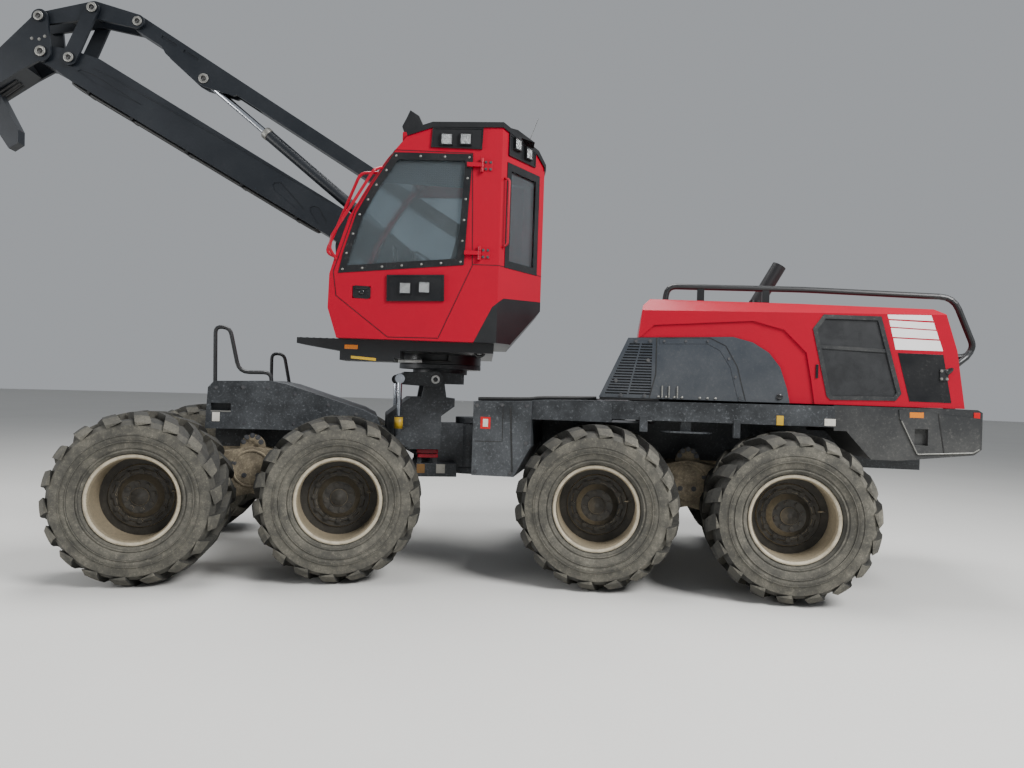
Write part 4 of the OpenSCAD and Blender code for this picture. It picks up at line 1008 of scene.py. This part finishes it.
def hood_panel(side, s, bolt):
    """Bolts, studs, rods, seams and gasket of one grey panel, and a black sheet of painted shade
    behind its louvres.
    """
    at = wall(s, HOOD_Y)
    bolts("panel_bolts_" + side, REAR, facing(PANEL_BOLTS, at(0), s), "hood", "dark_bolt", bolt)
    bolts("panel_studs_" + side, REAR, facing(PANEL_STUDS, at(0), s), "hood", "zinc", 0.009,
          sides=12, washer=1.3)
    rods = [[(x, at(8), 1742), (x, at(8), 1640)] for x in PANEL_RODS]
    runs("panel_rods_" + side, REAR, rods, "hood", "zinc", 0.006, 0.0, 8)
    seams = Shape(REAR).ribbon(LOUVRE_SEAM, 9, at(-4), at(1.5))
    seams.ribbon(ARCH_SEAM, 7, at(-4), at(1.5))
    seams.made("panel_seams_" + side, "hood", "grey_paint", "seal")
    # A black sheet inside the wall behind the louvres: painted shade of the hood's dark inside,
    # seen between the slats.
    shade_sheet = Shape(REAR).prism(LOUVRES, at(-32), at(-26))
    shade_sheet.made("louvre_backing_" + side, "hood", "black_paint", "plate")
    gasket = Shape(REAR).block((1386, at(-26), 1609), (1900, at(-6), 1630), 3)
    gasket.made("hood_gasket_" + side, "hood", "black_paint", "seal")


def hood_rail(side, s):
    """The rail's stay, its bolts and the panel's raised arch."""
    at = wall(s, HOOD_Y)
    stay = Shape(REAR)
    stay.tube([(4452, s * 952, 2105), (4400, s * 1000, 2055), (4205, s * 1106, 1915)], 24, 20)
    stay.ribbon([(4190, 1852), (4190, 1946)], 66, at(-2), at(14), 3)
    stay.made("rail_stay_" + side, "hood", "black_paint", "black")
    bolts("stay_bolts_" + side, REAR, facing(STAY_FOOT, at(14), s), "hood", "zinc", 0.008)
    arch = Shape(REAR).ribbon(ARCH, 46, at(-2), at(3))
    arch.made("panel_arch_" + side, "hood", "grey_paint", "panel")
    bolts("rail_bolts_" + side, REAR, facing(RAIL_BOLTS, s * RAIL_Y, s), "hood", "dark_bolt", 0.01)


def bumper_side(side, s):
    """Marker lamp, reflector, seam and pale rim of one side of the bumper."""
    at = wall(s, MARKER_Y)
    marks = Shape(REAR).block((3925, at(0), 1538), (4040, at(8), 1590), 5)
    marks.use(1).block((4418, at(0), 1530), (4466, at(6), 1600), 4)
    marks.made("bumper_markers_" + side, "rear_chassis", "black_paint", "orange", "reflector")
    at = wall(s, BUMPER_Y)
    seam = Shape(REAR).ribbon([(4148, 1585), (4198, 1262)], 6, at(-3), at(1.5))
    seam.made("bumper_seam_" + side, "rear_chassis", "black_paint", "seal")
    line = [(x, at(-4), z) for x, z in BUMPER_LINE]
    runs("bumper_rim_" + side, REAR, [line], "rear_chassis", "zinc", 0.006, 0.02, 8)


def sill_side(side, s):
    """Hangers under the sill, and blank tags on the sill and the side box."""
    hanger = Shape(REAR)
    for x0, x1, z0 in ((1739, 1808, 1339), (2524, 2581, 1316)):
        hanger.block((x0, s * 1090, z0), (x1, s * 1158, 1475), 3)
    step = [(1911, 1060), (1999, 1150), (2261, 1150), (2359, 1060), (2252, 960), (2001, 960)]
    hanger.prism([(x, s * y) for x, y in step], 1340, 1352, "Z")
    hanger.block((2090, s * 990, 1350), (2180, s * 1080, 1442), 3)
    hanger.made("sill_hangers_" + side, "rear_chassis", "dusty_paint", "chassis")
    at = wall(s, SILL_Y)
    tags = Shape(REAR).block((2874, at(0), 1440), (2930, at(2), 1520))
    tags.use(1).block((3258, at(0), 1450), (3345, at(2), 1508))
    at = wall(s, BOX_Y)
    tags.block((385, at(0), 1334), (430, at(3), 1402))
    tags.use(2).block((363, at(0), 1316), (451, at(2), 1419))
    tags.made("blank_tags_" + side, "rear_chassis", "black_paint", "yellow", "label", "reflector")


def side_box(side, s, bolt):
    """Seams and bolts of one side box's door."""
    at = wall(s, BOX_Y)
    seams = Shape(REAR).ribbon([(318, 1205), (560, 1209), (560, 1520)], 7, at(-3), at(1.5))
    seams.ribbon([(626, 1512), (640, 1240), (656, 950)], 12, at(-3), at(4))
    seams.made("side_box_seams_" + side, "rear_chassis", "black_paint", "seal")
    bolts("side_box_bolts_" + side, REAR, facing(BOX_BOLTS, at(0), s), "rear_chassis", "dark_bolt",
          bolt)


def box_tops(hose):
    """Hoses that lie on the left box, and the studs of both tread plates."""
    hoses = []
    for y in (-1110, -1068, -1026, -984):
        hoses.append(smooth_path([
            (310, y, 1574), (520, y + 10, 1580), (760, y + 40, 1588), (860, y + 60, 1600),
            (1100, y + 110, 1608), (1350, y + 150, 1614)]))
    runs("box_top_hoses", REAR, hoses, "rear_chassis", "hose", hose, 0.0)
    spots = [((850 + 62 * i, s * (560 + 62 * j), 1581 + 1.8 * i), (0, 0, 1))
             for s in BOTH for i in range(10) for j in range(5)]
    bolts("box_top_studs", REAR, spots, "rear_chassis", "chassis", 0.011, 0.003, 12,
          1.05)


def tail():
    """Tail lamps in their housings, and the blank plate between them."""
    shape = Shape(REAR)
    for s in BOTH:
        shape.use(0).block((TAIL_X, s * 820, 1392), (TAIL_X + 8, s * 1010, 1478), 3)
        for finish, y0, y1 in ((1, 828, 908), (2, 914, 1002)):
            shape.use(finish).block((TAIL_X, s * y0, 1400), (TAIL_X + 13, s * y1, 1470), 3)
    shape.use(3).block((TAIL_X, -260, 1400), (TAIL_X + 4, 260, 1512), 1)
    shape.made("tail_lamps", "rear_chassis", "black_paint", "plate", "reflector", "orange", "label")


def hood_top():
    """Seams across the hood's top and the exhaust's collar."""
    seams = Shape(REAR)
    for x, z in ((3166, 2475), (3700, 2459)):
        seams.block((x - 4, -985, z - 6), (x + 4, 985, z + 1))
    seams.made("hood_top_seams", "hood", "red_paint", "seal")
    collar = [(72, 2474), (150, 2474), (150, 2494), (140, 2504), (84, 2504), (78, 2530), (72, 2530)]
    shape = Shape(REAR).turned(collar, (2870, 0, 0), sides=48)
    shape.made("exhaust_collar", "hood", "black_paint", "black")


class HARVESTER_OT_hood(bpy.types.Operator):
    """Stripes, blank plates, screen frames, catches, studs and bolts of the hood and rear frame"""

    bl_idname = "harvester.hood"
    bl_label = "Hood"

    def execute(self, context):
        sizes = context.scene.harvester_sizes
        for side, s in SIDES:
            hood_side(side, s)
            hood_panel(side, s, sizes.trim_bolt)
            hood_rail(side, s)
            bumper_side(side, s)
            sill_side(side, s)
            side_box(side, s, sizes.trim_bolt)
        box_tops(sizes.hose)
        tail()
        hood_top()
        return {"FINISHED"}


# cab

CAB_Y, LAMP = -1150, 108
CORNER = PLATFORM @ move(560, CAB_Y, 0) @ turn("Z", 53.07)
DOOR_PANE = [(-840, 2665), (236, 2772), (285, 3738), (-389, 3725), (-560, 3450), (-700, 3180),
             (-805, 2830)]
DOOR_EDGE = [(-407, 2092), (44, 2097), (329, 2758), (300, 3765), (-395, 3765), (-575, 3490),
             (-730, 3215), (-845, 2850), (-905, 2660), (-874, 2446)]
DOOR_GRIP = [(-700, 2544), (-590, 2540), (-566, 2520), (-566, 2446), (-590, 2428), (-700, 2432),
             (-722, 2448), (-722, 2536)]
DOOR_LAMPS = [(-421, 2640), (-415, 2419), (80, 2437), (74, 2659)]
ROOF_LAMPS = [(-74, 3796), (380, 3796), (388, 3986), (-64, 3972)]
CORNER_LAMPS = [(91, 3778), (525, 3778), (525, 3908), (91, 3974)]
CORNER_PANE = [(110, 2790), (590, 2790), (590, 3690), (110, 3690)]
CORNER_GRIP = [(48, 0, 3560), (48, -55, 3540), (48, -55, 2960), (48, 0, 2940)]
GUARD_RAIL = ((-505, 0, 3600), (-560, -70, 3560), (-905, -90, 2960), (-925, -70, 2850),
              (-880, 0, 2770))
ROOF_BRACKET = [(-330, 3955), (-215, 3968), (-151, 4019), (-200, 4120), (-284, 4171), (-310, 4110),
                (-354, 4019)]
HINGE_HEIGHTS = (2868, 3653)


def work_lamp(shape, x, z, y):
    """What covers a square work lamp: bezel, bowl and four diodes, and lens; finishes 0, 1, 2."""
    half = LAMP / 2
    outline = [(x + i * half, z + j * half) for i, j in ((-1, -1), (1, -1), (1, 1), (-1, 1))]
    shape.use(0).border(outline, 9, y + 13, y - 14)
    shape.use(1).prism(inset(outline, 8), y, y - 4)
    bowl = [(0, 3), (4, 3), (LAMP * 0.15, 9), (LAMP * 0.17, 9), (LAMP * 0.17, 0), (0, 0)]
    for i in BOTH:
        for j in BOTH:
            shape.turned(bowl, (x + i * LAMP * 0.2, y, z + j * LAMP * 0.2), (0, -1, 0), 20)
    shape.use(2).prism(inset(outline, 9), y - 10, y - 12)


def lamp_pair(name, place, body, face, outline, width, depth, spots, plate=None):
    """Two work lamps in a raised frame on a wall, with a plate behind them or none."""
    shape = Shape(place)
    if plate:
        shape.prism(plate, face + 2, face - 12, edge=3)
    shape.border(outline, width, face + 2, face - depth)
    for x, z in spots:
        work_lamp(shape, x, z, face - 24)
    shape.made(name, body, "black_paint", "plate", "lamp", "lens")


def door(screw):
    """The pane's border and its screws, the seal and the grip."""
    edge = Shape(PLATFORM).border(inset(DOOR_PANE, -14), 62, CAB_Y + 10, CAB_Y - 5)
    edge.made("door_pane_border", "door", "black_paint", "plate")
    spots = facing(along_edge(DOOR_PANE, 190, 16), CAB_Y - 5, -1)
    bolts("door_pane_screws", PLATFORM, spots, "door", "zinc", screw, height=0.004, sides=12,
          washer=1.2)
    seal = Shape(PLATFORM).border(inset(DOOR_EDGE, 2), 5, CAB_Y + 20, CAB_Y - 1)
    seal.made("door_seal", "platform", "black_paint", "seal")
    grip = Shape(PLATFORM).prism(DOOR_GRIP, CAB_Y + 10, CAB_Y - 4, edge=2)
    lock = [(0, 0), (24, 0), (24, 9), (16, 14), (0, 14)]
    grip.turned(lock, (-644, CAB_Y - 4, 2486), (0, -1, 0), 24)
    grip.block((-700, CAB_Y - 16, 2512), (-590, CAB_Y - 4, 2530), 4)
    grip.made("door_handle", "door", "black_paint", "plate")


def cab_lamps():
    """Pairs of work lamps on the door, at the roof's side and at the cab's corner."""
    lamp_pair("door_lamps", PLATFORM, "door", CAB_Y, inset(DOOR_LAMPS, -6), 16, 18,
              ((-260, 2532), (-92, 2545)), inset(DOOR_LAMPS, -4))
    lamp_pair("roof_side_lamps", PLATFORM, "platform", CAB_Y, ROOF_LAMPS, 12, 15,
              ((64, 3868), (233, 3876)))
    lamp_pair("corner_lamps", CORNER, "platform", 0, CORNER_LAMPS, 12, 15,
              ((205, 3903), (385, 3868)))


def panes_and_rails():
    """The corner pane's border, the red grab handle and the door's red rail."""
    rim = Shape(CORNER).border(inset(CORNER_PANE, -26), 66, 4, -5)
    rim.made("corner_pane_border", "platform", "black_paint", "plate")
    runs("corner_grab_handle", CORNER, [CORNER_GRIP], "platform", "red", 0.011, 0.03)
    rail = [(x, CAB_Y + y, z) for x, y, z in GUARD_RAIL]
    runs("door_guard_rail", PLATFORM, [rail], "door", "red", 0.013, 0.06)


def roof():
    """Aerial, its foot, and the bracket at the roof's front edge."""
    aerial = [(0, 0), (22, 0), (22, 18), (12, 30), (7, 60), (3, 70), (2.4, 290), (0, 290)]
    mast = Shape(PLATFORM).turned(aerial, (800, -720, 3978), (0.35, 0, 1), 16)
    mast.block((570, -660, 4050), (700, -520, 4104), 8)
    mast.made("whip_aerial", "platform", "black_paint", "black")
    bracket = Shape(PLATFORM).prism(ROOF_BRACKET, -1020, -930, edge=6)
    bracket.made("roof_bracket", "platform", "black_paint", "black")
    clip = Shape(PLATFORM).block((-345, -1035, 3880), (-262, -950, 3965), 8)
    clip.made("roof_bracket_clip", "platform", "red_paint", "red")


def door_hinges():
    """Plates and bolts of the door's hinges."""
    plates = Shape(PLATFORM)
    for z in HINGE_HEIGHTS:
        plates.block((402, CAB_Y - 6, z - 44), (476, CAB_Y + 2, z + 44), 2)
    plates.made("door_hinge_plates", "platform", "red_paint", "red")
    points = [(x, z + dz) for z in HINGE_HEIGHTS for x in (418, 460) for dz in (-30, 30)]
    bolts("door_hinge_bolts", PLATFORM, facing(points, CAB_Y - 6, -1), "platform", "dark_bolt",
          0.009)


def cab_inside():
    """The door's blind, and the armrests, levers, screen and pedal box round the seat."""
    blind = Shape(PLATFORM)
    blind.prism([(-500, 3478), (262, 3455), (276, 3728), (-392, 3716)], CAB_Y + 44, CAB_Y + 48)
    blind.made("door_blind", "door", "seat", "blind")
    inside = Shape(PLATFORM)
    lever = [(0, 0), (13, 0), (11, 60), (20, 96), (16, 124), (0, 130)]
    for y in (-860, -440):
        inside.block((-262, y - 38, 2742), (-150, y + 38, 2792), 12)
        inside.turned(lever, (-215, y, 2785), (-0.15, 0, 1), 20)
    inside.block((-500, -300, 2900), (-476, -60, 3070), 6)
    inside.tube([(-488, -180, 2120), (-488, -180, 2910)], 18, 12)
    inside.block((-620, -520, 2120), (-440, -160, 2290), 20)
    inside.prism([(262, 3330), (322, 3300), (352, 3490), (296, 3510)], -780, -520, edge=18)
    inside.made("cab_controls", "platform", "black_paint", "grey_plastic")


def cab_seams():
    """The dark seams under the panes."""
    seam = Shape(PLATFORM)
    seam.prism([(330, 2765), (560, 2765), (560, 2771), (330, 2771)], CAB_Y + 4, CAB_Y - 2)
    seam.made("cab_seams", "platform", "red_paint", "seal")
    seam = Shape(CORNER).prism([(0, 2765), (700, 2765), (700, 2771), (0, 2771)], 4, -2)
    seam.made("cab_corner_seam", "platform", "red_paint", "seal")


class HARVESTER_OT_cab(bpy.types.Operator):
    """Pane borders, screws, lamps, handles, rails and seals of the cab"""

    bl_idname = "harvester.cab"
    bl_label = "Cab"

    def execute(self, context):
        door(context.scene.harvester_sizes.pane_screw)
        for part in (cab_lamps, panes_and_rails, roof, door_hinges, cab_inside, cab_seams):
            part()
        return {"FINISHED"}


# crane; places are (u, w), along the boom and above it

PIN_A, PIN_B, PIN_C = (BOOM_LENGTH + 212, 319), (BOOM_LENGTH, 0), (BOOM_LENGTH - 291, 101)
PIN_D, PIN_E, PIN_F = (BOOM_LENGTH - 219, 700), (BOOM_LENGTH - 677, 838), (BOOM_LENGTH - 1593, 681)
PIN_K = (0, 690)
# piece's name, body, and each pin's place, distance across and radius
PINS = (("stick", "stick", [(PIN_B, 178, 62)]),
        ("short_links", "short_links", [(PIN_C, 178, 58), (PIN_D, 178, 58)]),
        ("rocker", "rocker", [(PIN_E, 122.5, 55)]),
        ("tie_rod", "tie_rod", [(PIN_F, 81, 60)]),
        ("tie_lever", "tie_lever", [(PIN_K, 222, 52)]),
        ("platform", "platform", [((0, 0), 226, 82)]),
        ("stick_top", "stick", [(PIN_A, 184, 56)]))
STICK_CYLINDER_FOOT = (60, 0, 105)
HOSE_CLAMPS = (1800, 2500, 3200, 3900, 4450)
BOOM_LEDGE = [(1500, 232), (2705, 219), (4374, 158), (4500, 140)]
EAR_BOLTS = ((5141, 106), (5213, 71), (5107, 163))
HOSES = range(4)


def crane_pins():
    """Both ends of every pin of the crane."""
    for name, body, pins in PINS:
        ends = Shape(BOOM)
        for (u, w), y, radius in pins:
            for s in BOTH:
                pin_end(ends, u, w, s * y, s, radius)
        ends.made("pin_ends_" + name, body, "worn_steel", "zinc", "seal")


def crane_cylinders():
    """The glands of the stick's and the lift's cylinders, and the stick cylinder's pipe."""
    way = between(BOOM, STICK_CYLINDER_FOOT, (PIN_F[0], 0, PIN_F[1]))
    gland = [(37, 2530), (66, 2530), (68, 2536), (68, 2580), (62, 2592), (48, 2598), (37, 2600)]
    Shape(way).turned(gland, sides=48).made("stick_cylinder_gland", "stick_cylinder",
                                            "worn_steel", "zinc")
    pipe = [(-55, 40, 180), (-95, 60, 200), (-110, 70, 300), (-95, 62, 420), (-66, 40, 470)]
    port = Shape(way).tube(smooth_path(pipe), 14, 10)
    port.turned([(0, 0), (24, 0), (24, 26), (0, 26)], (-60, 40, 180), (-1, 0.3, 0), 6)
    port.made("stick_cylinder_pipe", "stick_cylinder", "black_paint", "hose")
    foot = between(CRANE, LIFT_FOOT, (CRANE.inverted() @ BOOM @ Vector(LIFT_EYE)))
    gland = [(47, 742), (79, 742), (81, 748), (81, 782), (74, 792), (58, 798), (47, 800)]
    Shape(foot).turned(gland, sides=48).made("lift_cylinder_gland", "lift_cylinder",
                                             "worn_steel", "zinc")


def crane_hoses(hose):
    """Hoses under the stick and the boom, and the boom's clamps."""
    lines = []
    for k in HOSES:
        y, drop = -62 + 40 * k, 14 * (k % 2)
        lines.append(smooth_path([
            (420, y, -62 - drop), (900, y, -82 - drop), (1500, y, -78 - drop),
            (2100, y, -72 - drop), (2440, y * 0.9, -74 - drop)]))
    runs("stick_hoses", STICK, lines, "stick", "hose", 0.013, 0.0)
    lines = []
    for k in HOSES:
        y = -54 + 36 * k
        lines.append(smooth_path([
            (1540, y, -92), (1620, y, -117), (2400, y * 0.9, -118), (3600, y * 0.9, -118),
            (4560, y, -117), (4640, y, -92)]))
    runs("boom_hoses", BOOM, lines, "boom", "hose", hose, 0.0)
    clamps = Shape(BOOM)
    for u in HOSE_CLAMPS:
        clamps.block((u - 18, -84, -138), (u + 18, 84, -96), 4)
    clamps.made("boom_hose_clamps", "boom", "black_paint", "black")


class HARVESTER_OT_crane(bpy.types.Operator):
    """Pin ends, hoses, glands and clamps of the crane"""

    bl_idname = "harvester.crane"
    bl_label = "Crane"

    def execute(self, context):
        crane_pins()
        crane_cylinders()
        crane_hoses(context.scene.harvester_sizes.hose)
        ledge = Shape(BOOM)
        for s in BOTH:
            ledge.ribbon(BOOM_LEDGE, 8, s * 128, s * 136)
        ledge.made("boom_ledges", "boom", "crane_paint", "crane")
        spots = [spot for s in BOTH for spot in facing(EAR_BOLTS, s * 166, s)]
        bolts("stick_ear_bolts", BOOM, spots, "stick", "zinc", 0.012)
        return {"FINISHED"}


# head

ROLLER_X, ROLLER_Y, ROLLER_Z = 180, 345, -426
ROLLER_RIBS, ROLLER_BANDS = 18, ((12, 88), (106, 190), (208, 288))
FEED_COVER = [(-270, -60), (470, -60), (470, 30), (280, 108), (-190, 108), (-290, 50)]
FEED_COVER_BOLTS = ((-250, -40), (-60, -40), (160, -40), (440, -40), (440, 15), (260, 88),
                    (-170, 88))
SAW_COVER = [(560, -300), (905, -300), (905, 40), (560, 40)]
SAW_COVER_BOLTS = grid((585, 880), (-275, -130, 15))
PORTS = 6


def roller_ribs():
    """Ribs round both feed rollers, in three bands."""
    for side, s in SIDES:
        ribs = Shape(HEAD @ move(ROLLER_X, s * ROLLER_Y, ROLLER_Z))
        for k in range(ROLLER_RIBS):
            a = 2 * math.pi * k / ROLLER_RIBS
            out, along = Vector((math.cos(a), math.sin(a))), Vector((-math.sin(a), math.cos(a)))
            foot = [out * r + along * w for r, w in ((147, -9), (147, 9), (161, 5), (161, -5))]
            for low, high in ROLLER_BANDS:
                ribs.prism([tuple(p) for p in foot], low, high, "Z", 1.5)
        ribs.made("roller_ribs_" + side, "feed_roller_" + side, "worn_steel", "steel")


def head_covers(bolt):
    """Raised covers on the head and the bolts round their edges."""
    covers = Shape(HEAD)
    for s in BOTH:
        covers.prism(FEED_COVER, s * 198, s * 210, edge=3)
        covers.prism(SAW_COVER, s * 228, s * 238, edge=3)
    covers.block((937, -150, -240), (946, 150, 10), 3)
    covers.made("head_covers", "head", "red_paint", "red")
    spots = [spot for s in BOTH for spot in facing(FEED_COVER_BOLTS, s * 210, s)]
    spots += [spot for s in BOTH for spot in facing(SAW_COVER_BOLTS, s * 238, s)]
    spots += [((946, y, z), (1, 0, 0)) for y in (-130, 130) for z in (-220, -10)]
    bolts("head_bolts", HEAD, spots, "head", "dark_bolt", bolt)


def yoke():
    """The ends of the yoke's pin, its hoses and the rotator's ports."""
    ends = Shape(HEAD)
    for s in BOTH:
        pin_end(ends, 0, 0, s * 350, s, 62)
    ends.made("head_pin_ends", "head", "worn_steel", "zinc", "seal")
    lines = [[(x, s * 358, 500), (x, s * 362, 420), (x * 0.9, s * 362, 180),
              (x * 0.8, s * 358, 110)] for s in BOTH for x in (-62, -26, 26, 62)]
    runs("yoke_hoses", HEAD, lines, "head_yoke", "hose", 0.012, 0.02)
    ring = Shape(TIP).turned([(128, -330), (137, -330), (137, -300), (128, -300)], sides=48)
    port = [(0, 0), (17, 0), (17, 22), (11, 26), (0, 26)]
    for k in range(PORTS):
        a = math.radians(30 + 360 / PORTS * k)
        spot = (128 * math.cos(a), 128 * math.sin(a), -385)
        ring.turned(port, spot, (math.cos(a), math.sin(a), 0), 6)
    ring.made("rotator_ports", "rotator", "black_paint", "zinc")


class HARVESTER_OT_head(bpy.types.Operator):
    """Roller ribs, covers, bolts, pin ends and hoses of the rotator and the harvester head"""

    bl_idname = "harvester.head"
    bl_label = "Head"

    def execute(self, context):
        roller_ribs()
        head_covers(context.scene.harvester_sizes.trim_bolt)
        yoke()
        return {"FINISHED"}


# panel and order of work

ORDER = (HARVESTER_OT_finishes, HARVESTER_OT_stage, HARVESTER_OT_wheels, HARVESTER_OT_chassis,
         HARVESTER_OT_hood, HARVESTER_OT_cab, HARVESTER_OT_crane, HARVESTER_OT_head)
GROUPS = (("harvester_colours", HarvesterColours), ("harvester_sizes", HarvesterSizes),
          ("harvester_light", HarvesterLight))


class HARVESTER_PT_panel(bpy.types.Panel):
    """The harvester's sizes, colours and pieces"""

    bl_idname = "HARVESTER_PT_panel"
    bl_label = "Harvester"
    bl_space_type = "VIEW_3D"
    bl_region_type = "UI"
    bl_category = "Harvester"

    def draw(self, context):
        for key, group in GROUPS:
            box = self.layout.box()
            for name in group.__annotations__:
                box.prop(getattr(context.scene, key), name)
        for operator in ORDER:
            self.layout.operator(operator.bl_idname)


def register():
    for name, group in GROUPS:
        bpy.utils.register_class(group)
        setattr(bpy.types.Scene, name, PointerProperty(type=group))
    for operator in ORDER:
        bpy.utils.register_class(operator)
    bpy.utils.register_class(HARVESTER_PT_panel)


def unregister():
    bpy.utils.unregister_class(HARVESTER_PT_panel)
    for operator in reversed(ORDER):
        bpy.utils.unregister_class(operator)
    for name, group in reversed(GROUPS):
        delattr(bpy.types.Scene, name)
        bpy.utils.unregister_class(group)


def main():
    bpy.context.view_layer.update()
    register()
    for operator in ORDER:
        prefix, name = operator.bl_idname.split(".")
        getattr(getattr(bpy.ops, prefix), name)()


if __name__ == "__main__":
    main()
